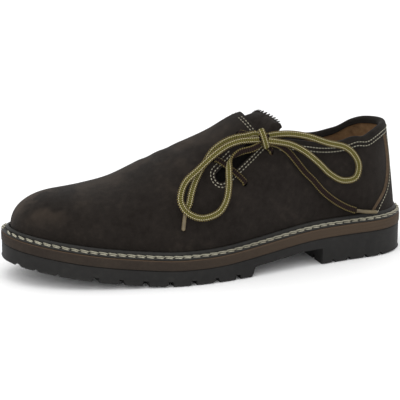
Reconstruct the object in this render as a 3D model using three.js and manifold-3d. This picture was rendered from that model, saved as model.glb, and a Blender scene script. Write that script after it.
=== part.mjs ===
// Haferl shoe for the left foot: a low country shoe of nubuck, laced on its outer side,
// on a cleated rubber sole with a brown midsole and a stitched storm welt.
// Millimetres, +Z up. The toe points to -X and the outer side of the foot to -Y.
// The origin is the flat spot under the middle of the heel.

import * as THREE from 'three';
import { mergeVertices } from 'three/addons/utils/BufferGeometryUtils.js';
import Module from 'manifold-3d';

const wasm = await Module();
wasm.setup();

// Driving sizes of the sole
const SOLE_LENGTH = 302;
const BALL_WIDTH = 103;
const HEEL_BACK = 38;
const OUTSOLE_TOP_FORE = 11.2;
const OUTSOLE_TOP_HEEL = 19.4;
const MIDSOLE_THICKNESS = 7.4;
const TOE_SPRING = 14.7;
const WAIST_HEIGHT_FRONT = 7.8;
const WAIST_HEIGHT_BACK = 12.3;
const CLEAT_DEPTH = 3.8;
const CLEAT_GAP = 3.6;
const CLEAT_PITCH_FORE = 17;
const CLEAT_PITCH_HEEL = 13.5;
const FIRST_CLEAT_FORE = 11.4;
const FIRST_CLEAT_HEEL = 9.5;
const EDGE_CLEAT_LENGTH = 15;
const CHANNEL_WIDTH = 3.2;
const CHANNEL_DEPTH = 3.4;
const GROOVE_FLARE = 0.6;
const UNDER_GROUND = 5;

// Rounding of the sole's edges: how far the wall steps in, and over what height
const OUTSOLE_FOOT = { inset: 1.6, height: 1.6 };
const OUTSOLE_WALL_INSET = 0.4;
const OUTSOLE_RIM = { inset: 0.9, height: 1.2 };
const MIDSOLE_FOOT = { inset: 0.7, height: 1.4 };
const MIDSOLE_RIM = { inset: 0.6, height: 1.2 };
const WELT_INSET = 0.2;

// Driving sizes of the welt and the insole
const WELT_THICKNESS = 1.5;
const WELT_UNDER_UPPER = 2.5;
const BEAD_WIDTH = 3;
const BEAD_HEIGHT = 2.9;
const SIDE_MARGIN = 8;
const TOE_MARGIN = 6.5;
const HEEL_MARGIN = 5.4;
const INSOLE_THICKNESS = 4.5;

// Driving sizes of the upper
const INSTEP_HEIGHT = 107.3;
const COLLAR_HEIGHT = 94.5;
const WALL = 2;
const HEEL_LEAN = 0.122;
const COUNTER_THICKNESS = 1.3;
const BINDING_THICKNESS = 1.2;
const BINDING_CROWN = 2.1;
const BINDING_OUTER_LEG = 6;
const BINDING_FRONT_LEG = 3.6;
const BINDING_INNER_LEG = 3.4;
const SLIT_WIDTH = 7.2;
const TONGUE_THICKNESS = 2;
const TONGUE_DEEPER = 1.7;
const TOOTH_LENGTH = 2.6;

// Driving sizes of the lacing
const LACE_DIAMETER = 3.4;
const AGLET_DIAMETER = 2.6;
const EYELET_DIAMETER = 4.6;
const KNOT_SIZE = new THREE.Vector3(8.5, 7, 11);

// Clearances
const GAP = 0.3;
const TONGUE_CLEARANCE = 1.2;
const COUNTER_CLEARANCE = 0.7;
const INSOLE_CLEARANCE = 0.9;
const BINDING_CLEARANCE = 0.65;

// A table's rows as objects with named columns
function table(columns, rows) {
  const names = columns.split(' ');
  return rows.map((row) => Object.fromEntries(names.map((name, k) => [name, row[k]])));
}

// Sole outline from the heel (0) to the toe (1): middle line and half width, as shares of the ball width
const OUTLINE = table('at middle half', [
  [0.00, 0.005, 0.359],
  [0.12, 0.008, 0.352],
  [0.26, -0.031, 0.363],
  [0.42, -0.095, 0.388],
  [0.54, -0.078, 0.461],
  [0.64, -0.037, 0.500],
  [0.74, 0.012, 0.490],
  [0.88, 0.033, 0.442],
  [0.96, 0.049, 0.413],
  [1.00, 0.058, 0.403],
]);

// Sections of the last from the heel (0) to the toe (1). ridge is a share of the instep height.
// ridgeY and the bulges are shares of the ball width. handle and the shoulders shape each half section.
const SECTIONS = table('at ridge ridgeY bulgeOut bulgeIn handle shoulderOut shoulderIn', [
  [0.000, 1.193, 0.005, 0.010, 0.010, 0.40, 0.80, 0.80],
  [0.117, 1.193, 0.000, 0.015, 0.019, 0.40, 0.84, 0.84],
  [0.220, 1.118, 0.000, 0.019, 0.019, 0.42, 0.95, 0.95],
  [0.323, 1.048, -0.010, 0.029, 0.024, 0.42, 0.95, 0.90],
  [0.374, 1.030, -0.010, 0.034, 0.029, 0.42, 0.90, 0.85],
  [0.429, 1.000, 0.000, 0.039, 0.039, 0.42, 0.84, 0.78],
  [0.498, 0.903, 0.015, 0.044, 0.049, 0.44, 0.76, 0.72],
  [0.580, 0.810, 0.034, 0.053, 0.058, 0.48, 0.70, 0.68],
  [0.662, 0.717, 0.053, 0.063, 0.063, 0.52, 0.66, 0.66],
  [0.745, 0.618, 0.063, 0.068, 0.063, 0.56, 0.66, 0.68],
  [0.806, 0.585, 0.063, 0.068, 0.058, 0.58, 0.68, 0.72],
  [0.889, 0.567, 0.058, 0.058, 0.049, 0.60, 0.72, 0.76],
  [1.000, 0.558, 0.053, 0.039, 0.039, 0.62, 0.76, 0.80],
]);

// Height of the collar's top edge and the vamp's edge, as a share of the collar height, and how much higher
// the outer side's edge runs
const TOPLINE = table('at height outer', [
  [0.000, 1.012, 0.000],
  [0.035, 0.996, 0.000],
  [0.056, 0.972, 0.006],
  [0.095, 0.910, 0.034],
  [0.127, 0.888, 0.064],
  [0.164, 0.873, 0.060],
  [0.203, 0.877, 0.053],
  [0.248, 0.896, 0.046],
  [0.289, 0.921, 0.046],
  [0.330, 0.952, 0.036],
  [0.378, 1.005, 0.000],
  [0.394, 1.028, 0.000],
  [0.404, 1.075, 0.000],
  [0.4155, 1.143, 0.000],
]);

// Front edge of the heel counter: share of the upper's length at each share of the counter's height
const COUNTER_EDGE = table('at length', [
  [0.00, 0.095],
  [0.10, 0.080],
  [0.28, 0.046],
  [0.58, 0.020],
  [0.85, 0.018],
  [1.00, 0.023],
]);

// Tongue: where each row lies along the upper, how far it reaches round each side, and how far it droops
// and its middle rises, as shares of the instep height
const TONGUE = table('at outer inner droop rise', [
  [0.325, 0.45, 0.28, 0.060, 0.036],
  [0.335, 0.42, 0.29, 0.046, 0.036],
  [0.355, 0.39, 0.31, 0.032, 0.040],
  [0.378, 0.38, 0.33, 0.016, 0.028],
  [0.400, 0.42, 0.34, 0.004, 0.012],
  [0.417, 0.58, 0.34, 0, 0],
  [0.450, 0.62, 0.34, 0, 0],
  [0.500, 0.66, 0.34, 0, 0],
  [0.560, 0.66, 0.32, 0, 0],
  [0.620, 0.50, 0.26, 0, 0],
]);

// Places on the outer side of the upper, as shares of its length and of the way from ridge to feather
const SLIT_TOP = { at: 0.41, around: 0.348 };
const SLIT_END = { at: 0.517, around: 0.482 };
const EYELETS = {
  vamp_upper: { at: 0.449, around: 0.235 },
  vamp_lower: { at: 0.519, around: 0.345 },
  quarter_upper: { at: 0.379, around: 0.456 },
  quarter_lower: { at: 0.458, around: 0.597 },
};
const KNOT_PLACE = { at: 0.404, around: 0.372 };

// Shares of the length where the shape changes
const TOE_ROUNDING_FROM = 0.74;
const TOE_ROUNDING_POWER = 2.3;
const HEEL_ROUNDING_TO = 0.13;
const TOE_BOX_FROM = 0.878;
const TOE_BOX_POWER = 2.4;
const SPRING_FROM = 0.618;
const SPRING_POWER = 1.54;
const LIFT_FROM = 0.23;
const LIFT_TO = 0.58;
const LEAN_TO = 0.30;
const TREAD_BACK = 0.450;
const TOE_CLEATS = [0.870, 0.905, 0.948, 0.981];
const HEEL_CLEATS_TO = 0.066;
const HEEL_BREAST = 0.2545;
const THROAT = 0.4155;
const BINDING_END = 0.372;
const WAIST_BEND = 0.05;
const WAIST_RAMP = 0.011;
const TONGUE_SLANT = 0.056;
const TONGUE_FALL = 0.006;
const TONGUE_CORNER = 0.008;
const TONGUE_CROWN_FROM = 0.06;
const TONGUE_CROWN_TO = 0.24;
const TONGUE_FREE_FROM = 0.355;
const TONGUE_FREE_TO = 0.398;
const TONGUE_FLAT_FROM = 0.34;
const TONGUE_FLAT_TO = 0.46;

// How finely the pieces are divided
const SOLE_STATIONS = 36;
const UPPER_STATIONS = 32;
const UPPER_ROWS = 10;
const COUNTER_COLUMNS = 14;
const COUNTER_ROWS = 8;
const TONGUE_COLUMNS = 20;
const LACE_SIDES = 8;

// Reads a column of a table between its rows with a smooth cubic
function read(table, column, at) {
  const last = table.length - 1;
  const here = Math.min(Math.max(at, table[0].at), table[last].at);
  const step = (row) => table[row + 1].at - table[row].at;
  const rise = (row) => (table[row + 1][column] - table[row][column]) / step(row);
  const slope = (row) => {
    if (row === 0) return rise(0);
    if (row === last) return rise(last - 1);
    return (rise(row - 1) * step(row) + rise(row) * step(row - 1)) / (step(row - 1) + step(row));
  };
  let row = 0;
  while (row < last - 1 && table[row + 1].at <= here) row += 1;
  const h = step(row);
  const u = (here - table[row].at) / h;
  const a = table[row][column];
  const b = table[row + 1][column];
  return (1 + 2 * u) * (1 - u) ** 2 * a + u * (1 - u) ** 2 * h * slope(row)
    + u * u * (3 - 2 * u) * b + u * u * (u - 1) * h * slope(row + 1);
}

const smooth = THREE.MathUtils.smoothstep;
const clamp = THREE.MathUtils.clamp;

// Width left at a share of the length: round at the heel, a blunter round at the toe
function roundEnds(share) {
  const toe = clamp((share - TOE_ROUNDING_FROM) / (1 - TOE_ROUNDING_FROM), 0, 1);
  const heel = clamp((HEEL_ROUNDING_TO - share) / HEEL_ROUNDING_TO, 0, 1);
  return (1 - toe ** TOE_ROUNDING_POWER) ** (1 / TOE_ROUNDING_POWER) * Math.sqrt(1 - heel ** 2);
}

// Heights of the layers at a place along the shoe
const soleShare = (x) => (HEEL_BACK - x) / SOLE_LENGTH;
const pastBall = (x) => clamp((soleShare(x) - SPRING_FROM) / (1 - SPRING_FROM), 0, 1);
const spring = (x) => TOE_SPRING * pastBall(x) ** SPRING_POWER;
const lift = (x) => smooth(soleShare(x), LIFT_FROM, LIFT_TO);
const outsoleTop = (x) => THREE.MathUtils.lerp(OUTSOLE_TOP_HEEL, OUTSOLE_TOP_FORE, lift(x)) + spring(x);
const midsoleTop = (x) => outsoleTop(x) + GAP + MIDSOLE_THICKNESS;
const weltTop = (x) => midsoleTop(x) + GAP + WELT_THICKNESS;

// A point of the sole's outline, side -1 on the outer side and 1 on the inner side, moved in by an inset
function outlinePoint(share, side, inset) {
  const middle = read(OUTLINE, 'middle', share) * BALL_WIDTH;
  const half = (read(OUTLINE, 'half', share) * BALL_WIDTH - inset) * roundEnds(share);
  const x = HEEL_BACK - inset - (SOLE_LENGTH - 2 * inset) * share;
  return new THREE.Vector3(x, middle + side * half, 0);
}

// A point of the last. around runs from 0 at the ridge to 1 at the feather, and inset moves it inwards.
function lastPoint(share, side, around, inset) {
  const back = HEEL_BACK - HEEL_MARGIN - inset;
  const front = HEEL_BACK - SOLE_LENGTH + TOE_MARGIN + inset;
  const x = back + (front - back) * share;
  const ends = roundEnds(share);
  const middle = read(OUTLINE, 'middle', share) * BALL_WIDTH;
  const half = (read(OUTLINE, 'half', share) * BALL_WIDTH - SIDE_MARGIN - inset) * ends;
  const bulge = read(SECTIONS, side < 0 ? 'bulgeOut' : 'bulgeIn', share) * BALL_WIDTH * ends;
  const shoulder = read(SECTIONS, side < 0 ? 'shoulderOut' : 'shoulderIn', share);
  const ridgeY = middle + (read(SECTIONS, 'ridgeY', share) * BALL_WIDTH - middle) * ends;
  const featherY = middle + side * half;
  const y = [featherY, featherY + side * bulge, ridgeY + (featherY - ridgeY) * shoulder, ridgeY];
  const z = sectionHeights(share, x, inset);
  const height = bezier(z, 1 - around);
  const lean = HEEL_LEAN * (height - z[0]) * (1 - smooth(share, 0, LEAN_TO));
  return new THREE.Vector3(x - lean, bezier(y, 1 - around), height);
}

function sectionHeights(share, x, inset) {
  const feather = weltTop(x) + GAP;
  const toe = clamp((share - TOE_BOX_FROM) / (1 - TOE_BOX_FROM), 0, 1);
  const toeBox = (1 - toe ** TOE_BOX_POWER) ** (1 / TOE_BOX_POWER);
  const full = read(SECTIONS, 'ridge', share) * INSTEP_HEIGHT - inset - feather;
  const ridge = feather + full * toeBox;
  const handle = feather + (ridge - feather) * read(SECTIONS, 'handle', share);
  return [feather, handle, ridge, ridge];
}

function bezier(p, t) {
  const s = 1 - t;
  return p[0] * s ** 3 + 3 * p[1] * t * s * s + 3 * p[2] * t * t * s + p[3] * t ** 3;
}

// The place round a section, between the ridge and the feather, that has a given height
function aroundAt(share, inset, height) {
  let low = 0;
  let high = 1;
  for (let turn = 0; turn < 40; turn += 1) {
    const middle = (low + high) / 2;
    if (lastPoint(share, -1, middle, inset).z > height) low = middle;
    else high = middle;
  }
  return (low + high) / 2;
}

// Height of the upper's cut edge: the collar stops under its binding's crown
function edgeHeight(share, side) {
  const bound = 1 - smooth(share, BINDING_END, BINDING_END + 0.012);
  const higher = side < 0 ? read(TOPLINE, 'outer', share) : 0;
  return (read(TOPLINE, 'height', share) + higher) * COLLAR_HEIGHT - BINDING_CROWN * bound;
}

const edgeAround = (share, side) => (share >= THROAT ? 0 : aroundAt(share, 0, edgeHeight(share, side)));

// Gathers grids of points into one closed shape
class Skin {
  constructor() {
    this.points = [];
    this.faces = [];
  }

  // Adds rows of points as quads. The faces look along (next row) x (next point), or back if flipped.
  grid(rows, flipped = false) {
    const first = this.points.length;
    const width = rows[0].length;
    rows.forEach((row) => this.points.push(...row));
    for (let r = 0; r + 1 < rows.length; r += 1) {
      for (let c = 0; c + 1 < width; c += 1) {
        const a = first + r * width + c;
        const b = a + width;
        if (flipped) this.faces.push([a, b + 1, b], [a, a + 1, b + 1]);
        else this.faces.push([a, b, b + 1], [a, b + 1, a + 1]);
      }
    }
  }

  geometry() {
    const loose = new THREE.BufferGeometry();
    const numbers = this.points.flatMap((p) => [p.x, p.y, p.z]);
    loose.setAttribute('position', new THREE.Float32BufferAttribute(numbers, 3));
    loose.setIndex(this.faces.flat());
    const merged = mergeVertices(loose, 1e-3);
    const kept = [];
    const index = merged.index.array;
    for (let i = 0; i < index.length; i += 3) {
      const [a, b, c] = [index[i], index[i + 1], index[i + 2]];
      if (a !== b && b !== c && c !== a) kept.push(a, b, c);
    }
    merged.setIndex(kept);
    return merged;
  }
}

// Turns a geometry into a solid that can be joined or cut, and back
function solidOf(geometry) {
  const bare = geometry.clone();
  bare.deleteAttribute('normal');
  bare.deleteAttribute('uv');
  const merged = mergeVertices(bare, 1e-3);
  const vertProperties = new Float32Array(merged.attributes.position.array);
  const triVerts = new Uint32Array(merged.index.array);
  return new wasm.Manifold(new wasm.Mesh({ numProp: 3, vertProperties, triVerts }));
}

function geometryOf(solid) {
  const mesh = solid.getMesh();
  const geometry = new THREE.BufferGeometry();
  geometry.setAttribute('position', new THREE.Float32BufferAttribute(mesh.vertProperties, 3));
  geometry.setIndex([...mesh.triVerts]);
  return geometry;
}

// Shares of a length, close together at both ends where the outline turns round
function roundStations(count) {
  return Array.from({ length: count + 1 }, (_, k) => (1 - Math.cos((Math.PI * k) / count)) / 2);
}

// A layer of the sole: levels of the outline from the bottom up, each with its inset and its height
function layer(levels, pointAt = outlinePoint) {
  const stations = roundStations(SOLE_STATIONS);
  const skin = new Skin();
  const ring = (level, side) => stations.map((share) => {
    const point = pointAt(share, side, level.inset);
    point.z = level.height(point.x);
    return point;
  });
  for (const side of [-1, 1]) {
    const rings = levels.map((level) => ring(level, side));
    skin.grid(rings, side > 0);
  }
  const bottom = levels[0];
  const top = levels[levels.length - 1];
  skin.grid([ring(bottom, -1), ring(bottom, 1)], true);
  skin.grid([ring(top, -1), ring(top, 1)]);
  return skin.geometry();
}

// A prism across the shoe with its outline given in side view as x, z pairs
function sidePrism(corners, fromY, toY) {
  const shape = new THREE.Shape(corners.map(([x, z]) => new THREE.Vector2(x, z)));
  const prism = new THREE.ExtrudeGeometry(shape, { depth: toY - fromY, bevelEnabled: false });
  prism.rotateX(Math.PI / 2);
  prism.translate(0, toY, 0);
  return solidOf(prism);
}

// A groove in the tread: a flared bar from one point to another, cut a given depth into the ground face
function groove(from, to, width, depth, ground) {
  const shape = new THREE.Shape([
    new THREE.Vector2(-width / 2 - GROOVE_FLARE, ground - UNDER_GROUND),
    new THREE.Vector2(width / 2 + GROOVE_FLARE, ground - UNDER_GROUND),
    new THREE.Vector2(width / 2, ground + depth),
    new THREE.Vector2(-width / 2, ground + depth),
  ]);
  const along = to.clone().sub(from);
  const bar = new THREE.ExtrudeGeometry(shape, { depth: along.length(), bevelEnabled: false });
  const forward = along.clone().normalize();
  const up = new THREE.Vector3(0, 0, 1);
  const across = new THREE.Vector3().crossVectors(up, forward);
  bar.applyMatrix4(new THREE.Matrix4().makeBasis(across, up, forward));
  bar.translate(from.x, from.y, 0);
  return solidOf(bar);
}

// The tread's edge grooves: each runs in from the outline, square to the middle line
function edgeGrooves(shares, width, depth) {
  const cutters = [];
  for (const share of shares) {
    for (const side of [-1, 1]) {
      const edge = outlinePoint(share, side, 0);
      const ahead = outlinePoint(share + 0.01, side, 0);
      const along = ahead.sub(edge).normalize();
      const inward = new THREE.Vector3(-along.y, along.x, 0).multiplyScalar(side);
      const from = edge.clone().addScaledVector(inward, -3);
      const to = edge.clone().addScaledVector(inward, EDGE_CLEAT_LENGTH);
      cutters.push(groove(from, to, width, depth, spring(edge.x)));
    }
  }
  return cutters;
}

// Shares of the sole's length from one place towards another, a pitch apart
function sharesAlong(from, to, pitch) {
  const count = Math.ceil((to - from) / pitch);
  return Array.from({ length: count }, (_, k) => soleShare(from + k * pitch));
}

function outsole() {
  const body = solidOf(layer([
    { inset: OUTSOLE_FOOT.inset, height: (x) => spring(x) },
    { inset: OUTSOLE_WALL_INSET, height: (x) => spring(x) + OUTSOLE_FOOT.height },
    { inset: OUTSOLE_WALL_INSET, height: (x) => outsoleTop(x) - OUTSOLE_RIM.height },
    { inset: OUTSOLE_RIM.inset, height: outsoleTop },
  ]));
  const place = (share) => HEEL_BACK - SOLE_LENGTH * share;
  const reach = BALL_WIDTH;
  const waist = sidePrism([
    [place(HEEL_BREAST), -UNDER_GROUND],
    [place(HEEL_BREAST), WAIST_HEIGHT_BACK],
    [place(HEEL_BREAST + WAIST_BEND), WAIST_HEIGHT_BACK],
    [place(TREAD_BACK - WAIST_RAMP), WAIST_HEIGHT_FRONT],
    [place(TREAD_BACK), -CLEAT_DEPTH / 4],
    [place(TREAD_BACK), -UNDER_GROUND],
  ], -reach, reach);

  const foreStart = place(TREAD_BACK) - FIRST_CLEAT_FORE;
  const heelStart = place(HEEL_BREAST) + FIRST_CLEAT_HEEL;
  const foreShares = sharesAlong(foreStart, place(TOE_CLEATS[0]), -CLEAT_PITCH_FORE);
  const heelShares = sharesAlong(heelStart, place(HEEL_CLEATS_TO), CLEAT_PITCH_HEEL);

  // A channel parts the edge cleats from the middle of the tread, at the forefoot and at the heel
  const channelDeep = (x) => spring(x) + CHANNEL_DEPTH;
  const below = (x) => spring(x) - UNDER_GROUND;
  const ringAt = (inset) => solidOf(layer([{ inset, height: below }, { inset, height: channelDeep }]));
  const channel = ringAt(EDGE_CLEAT_LENGTH - 0.5).subtract(ringAt(EDGE_CLEAT_LENGTH + CHANNEL_WIDTH));

  // Bars across the middle of the tread
  const bars = [];
  for (let k = 0; k + 1 < foreShares.length; k += 1) {
    const share = (foreShares[k] + foreShares[k + 1]) / 2;
    const from = outlinePoint(share, -1, EDGE_CLEAT_LENGTH + 1);
    const to = outlinePoint(share, 1, EDGE_CLEAT_LENGTH + 1);
    bars.push(groove(from, to, CLEAT_GAP, CHANNEL_DEPTH, spring(from.x)));
  }
  return geometryOf(wasm.Manifold.difference([
    body,
    waist,
    channel,
    ...edgeGrooves(foreShares, CLEAT_GAP, CLEAT_DEPTH),
    ...edgeGrooves(TOE_CLEATS.slice(1), CLEAT_GAP / 2, CLEAT_DEPTH / 2),
    ...edgeGrooves(heelShares, CLEAT_GAP * 0.6, CLEAT_DEPTH * 0.7),
    ...bars,
  ]));
}

function midsole() {
  return layer([
    { inset: MIDSOLE_FOOT.inset, height: (x) => outsoleTop(x) + GAP },
    { inset: 0, height: (x) => outsoleTop(x) + GAP + MIDSOLE_FOOT.height },
    { inset: 0, height: (x) => midsoleTop(x) - MIDSOLE_RIM.height },
    { inset: MIDSOLE_RIM.inset, height: midsoleTop },
  ]);
}

// The welt: a flat flange with a raised bead against the upper, carried round the feather line
function welt() {
  const shares = roundStations(SOLE_STATIONS);
  const section = (share, side) => {
    const feather = lastPoint(share, side, 1, 0).setZ(0);
    const edge = outlinePoint(share, side, WELT_INSET);
    const out = edge.clone().sub(feather);
    const width = out.length();
    out.normalize();
    const bead = Math.min(BEAD_WIDTH, width * 0.5);
    const corners = [
      [width, GAP],
      [width, GAP + WELT_THICKNESS],
      [GAP + bead, GAP + WELT_THICKNESS],
      [GAP + bead * 0.85, GAP + WELT_THICKNESS + BEAD_HEIGHT * 0.75],
      [GAP + bead * 0.6, GAP + WELT_THICKNESS + BEAD_HEIGHT],
      [GAP + bead * 0.35, GAP + WELT_THICKNESS + BEAD_HEIGHT * 0.8],
      [GAP, GAP + WELT_THICKNESS],
      [-WELT_UNDER_UPPER, GAP + WELT_THICKNESS],
      [-WELT_UNDER_UPPER, GAP],
      [width, GAP],
    ];
    return corners.map(([away, up]) => {
      const point = feather.clone().addScaledVector(out, away);
      point.z = midsoleTop(point.x) + up;
      return point;
    });
  };
  const skin = new Skin();
  skin.grid(shares.map((share) => section(share, -1)), true);
  skin.grid(shares.map((share) => section(share, 1)));
  return skin.geometry();
}

function insole() {
  const inside = WALL + INSOLE_CLEARANCE;
  const insolePoint = (share, side, inset) => lastPoint(share, side, 1, inside + inset);
  return layer([
    { inset: 0, height: (x) => midsoleTop(x) + GAP },
    { inset: 0, height: (x) => midsoleTop(x) + GAP + INSOLE_THICKNESS },
  ], insolePoint);
}

// Stations along the upper, with extra ones where the vamp's edge climbs to the ridge
function upperStations() {
  const extra = [BINDING_END, 0.394, 0.399, 0.404, 0.41, THROAT];
  const near = (share) => extra.some((other) => Math.abs(other - share) < 0.006);
  const even = roundStations(UPPER_STATIONS).filter((share) => !near(share));
  return [...even, ...extra].sort((a, b) => a - b);
}

// The whole hollow shell: an outer and an inner face, joined by rims at the feather and at the opening
function upperShell() {
  const stations = upperStations();
  const skin = new Skin();
  const face = (side, inset) => stations.map((share) => {
    const edge = edgeAround(share, side);
    return Array.from({ length: UPPER_ROWS + 1 }, (_, row) => {
      const around = 1 - (1 - edge) * (row / UPPER_ROWS);
      return lastPoint(share, side, around, inset);
    });
  });
  for (const side of [-1, 1]) {
    const outer = face(side, 0);
    const inner = face(side, WALL);
    const open = stations.filter((share) => share <= THROAT).length;
    skin.grid(outer, side < 0);
    skin.grid(inner, side > 0);
    skin.grid(outer.map((row, k) => [row[0], inner[k][0]]), side > 0);
    const rim = outer.map((row, k) => [row[UPPER_ROWS], inner[k][UPPER_ROWS]]);
    skin.grid(rim.slice(0, open), side < 0);
  }
  return skin.geometry();
}

// The way out of the surface at a place on the outer side
function outward(place) {
  const step = 0.004;
  const ahead = lastPoint(place.at + step, -1, place.around, 0);
  const behind = lastPoint(place.at - step, -1, place.around, 0);
  const lower = lastPoint(place.at, -1, place.around + step, 0);
  const higher = lastPoint(place.at, -1, place.around - step, 0);
  return new THREE.Vector3().crossVectors(ahead.sub(behind), lower.sub(higher)).normalize();
}

// A point above a place on the outer side, at a distance from the surface
function above(place, distance) {
  return lastPoint(place.at, -1, place.around, 0).addScaledVector(outward(place), distance);
}

// The slit between vamp and quarter: a slot with a round end, cut through the outer wall alone
function slitCutter() {
  const top = lastPoint(SLIT_TOP.at, -1, SLIT_TOP.around, 0);
  const end = lastPoint(SLIT_END.at, -1, SLIT_END.around, 0);
  const along = new THREE.Vector2(top.x - end.x, top.z - end.z).normalize();
  const across = new THREE.Vector2(-along.y, along.x).multiplyScalar(SLIT_WIDTH / 2);
  const start = new THREE.Vector2(top.x, top.z).addScaledVector(along, 14);
  const centre = new THREE.Vector2(end.x, end.z);
  const corners = [start.clone().add(across), start.clone().sub(across)];
  const turns = 8;
  for (let k = 0; k <= turns; k += 1) {
    const turned = across.clone().negate().rotateAround(new THREE.Vector2(), (-Math.PI * k) / turns);
    corners.push(centre.clone().add(turned));
  }
  return sidePrism(corners.map((corner) => [corner.x, corner.y]), -BALL_WIDTH, -BALL_WIDTH * 0.13);
}

function eyeletCutter(place) {
  const middle = above(place, 0);
  const hole = new THREE.CylinderGeometry(EYELET_DIAMETER / 2, EYELET_DIAMETER / 2, WALL * 5, 10);
  const turn = new THREE.Quaternion().setFromUnitVectors(new THREE.Vector3(0, 1, 0), outward(place));
  hole.applyQuaternion(turn);
  hole.translate(middle.x, middle.y, middle.z);
  return solidOf(hole);
}

function upper() {
  const cutters = [slitCutter(), ...Object.values(EYELETS).map(eyeletCutter)];
  return geometryOf(wasm.Manifold.difference([solidOf(upperShell()), ...cutters]));
}

// The rolled binding: an upturned U over the collar's edge, from the slit round the heel to the inner side
function collarBinding() {
  const shares = upperStations().filter((share) => share <= BINDING_END);
  const section = (share, side) => {
    const forward = smooth(share, LEAN_TO, BINDING_END);
    const leg = THREE.MathUtils.lerp(BINDING_OUTER_LEG, BINDING_FRONT_LEG, forward);
    const edge = edgeAround(share, side);
    const outerRim = lastPoint(share, side, edge, 0);
    const innerRim = lastPoint(share, side, edge, WALL);
    const middle = outerRim.clone().add(innerRim).multiplyScalar(0.5);
    const out = outerRim.clone().sub(innerRim).normalize();
    const up = new THREE.Vector3(0, 0, 1).addScaledVector(out, -out.z).normalize();
    const half = WALL / 2 + BINDING_CLEARANCE;
    const onWall = (depth, inset) => {
      const around = aroundAt(share, inset, outerRim.z - depth);
      return lastPoint(share, side, around, inset);
    };
    const onRim = (away, height) => middle.clone().addScaledVector(out, away).addScaledVector(up, height);
    const skinOut = -BINDING_CLEARANCE - BINDING_THICKNESS;
    const skinIn = WALL + BINDING_CLEARANCE + BINDING_THICKNESS;
    const corners = [
      onWall(leg, -BINDING_CLEARANCE - 0.7),
      onWall(leg / 2, skinOut),
      onRim(half + BINDING_THICKNESS, 0),
      onRim(half + BINDING_THICKNESS * 0.4, BINDING_CROWN * 0.75),
      onRim(0, BINDING_CROWN),
      onRim(-half - BINDING_THICKNESS * 0.4, BINDING_CROWN * 0.75),
      onRim(-half - BINDING_THICKNESS, 0),
      onWall(BINDING_INNER_LEG, skinIn),
      onWall(BINDING_INNER_LEG, WALL + BINDING_CLEARANCE),
      onRim(-half, GAP),
      onRim(half, GAP),
      onWall(leg / 2, -BINDING_CLEARANCE),
      onWall(leg, -BINDING_CLEARANCE),
    ];
    corners.push(corners[0]);
    return corners;
  };
  const outerHalf = shares.map((share) => section(share, -1));
  const innerHalf = shares.map((share) => section(share, 1));
  const skin = new Skin();
  skin.grid(outerHalf, true);
  skin.grid(innerHalf);
  // The two ends: the outer skin's corners matched with the inner skin's, as strips
  const strip = (end) => {
    const pairs = [[12, 0], [11, 1], [10, 2], [10, 3], [10, 4], [9, 4], [9, 5], [9, 6], [8, 7]];
    return pairs.map(([a, b]) => [end[a], end[b]]);
  };
  skin.grid(strip(outerHalf[outerHalf.length - 1]), true);
  skin.grid(strip(innerHalf[innerHalf.length - 1]));
  return skin.geometry();
}

// The heel counter: a second skin outside the upper, wrapped round the heel under the binding
function heelCounter() {
  const point = (column, row, inset) => {
    const height = row / COUNTER_ROWS;
    const across = (2 * column) / COUNTER_COLUMNS - 1;
    const share = read(COUNTER_EDGE, 'length', height) * across * across;
    const top = edgeHeight(share, across) - BINDING_OUTER_LEG - GAP - 0.5;
    const foot = lastPoint(share, -1, 1, 0);
    const bottom = weltTop(foot.x) + BEAD_HEIGHT + GAP;
    const around = aroundAt(share, inset, bottom + (top - bottom) * height);
    return lastPoint(share, across < 0 ? -1 : 1, around, inset);
  };
  const inner = -COUNTER_CLEARANCE;
  return shellPatch(point, COUNTER_COLUMNS, COUNTER_ROWS, inner - COUNTER_THICKNESS, inner);
}

// A patch with a thickness: an outer and an inner face and the four edges between them
function shellPatch(point, columns, rows, outerInset, innerInset) {
  const face = (inset) => Array.from({ length: columns + 1 }, (_, column) => (
    Array.from({ length: rows + 1 }, (__, row) => point(column, row, inset))));
  const outer = face(outerInset);
  const inner = face(innerInset);
  const skin = new Skin();
  skin.grid(outer);
  skin.grid(inner, true);
  skin.grid(outer.map((line, k) => [line[0], inner[k][0]]), true);
  skin.grid(outer.map((line, k) => [line[rows], inner[k][rows]]));
  skin.grid([outer[0], inner[0]], true);
  skin.grid([outer[columns], inner[columns]]);
  return skin.geometry();
}

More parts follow.
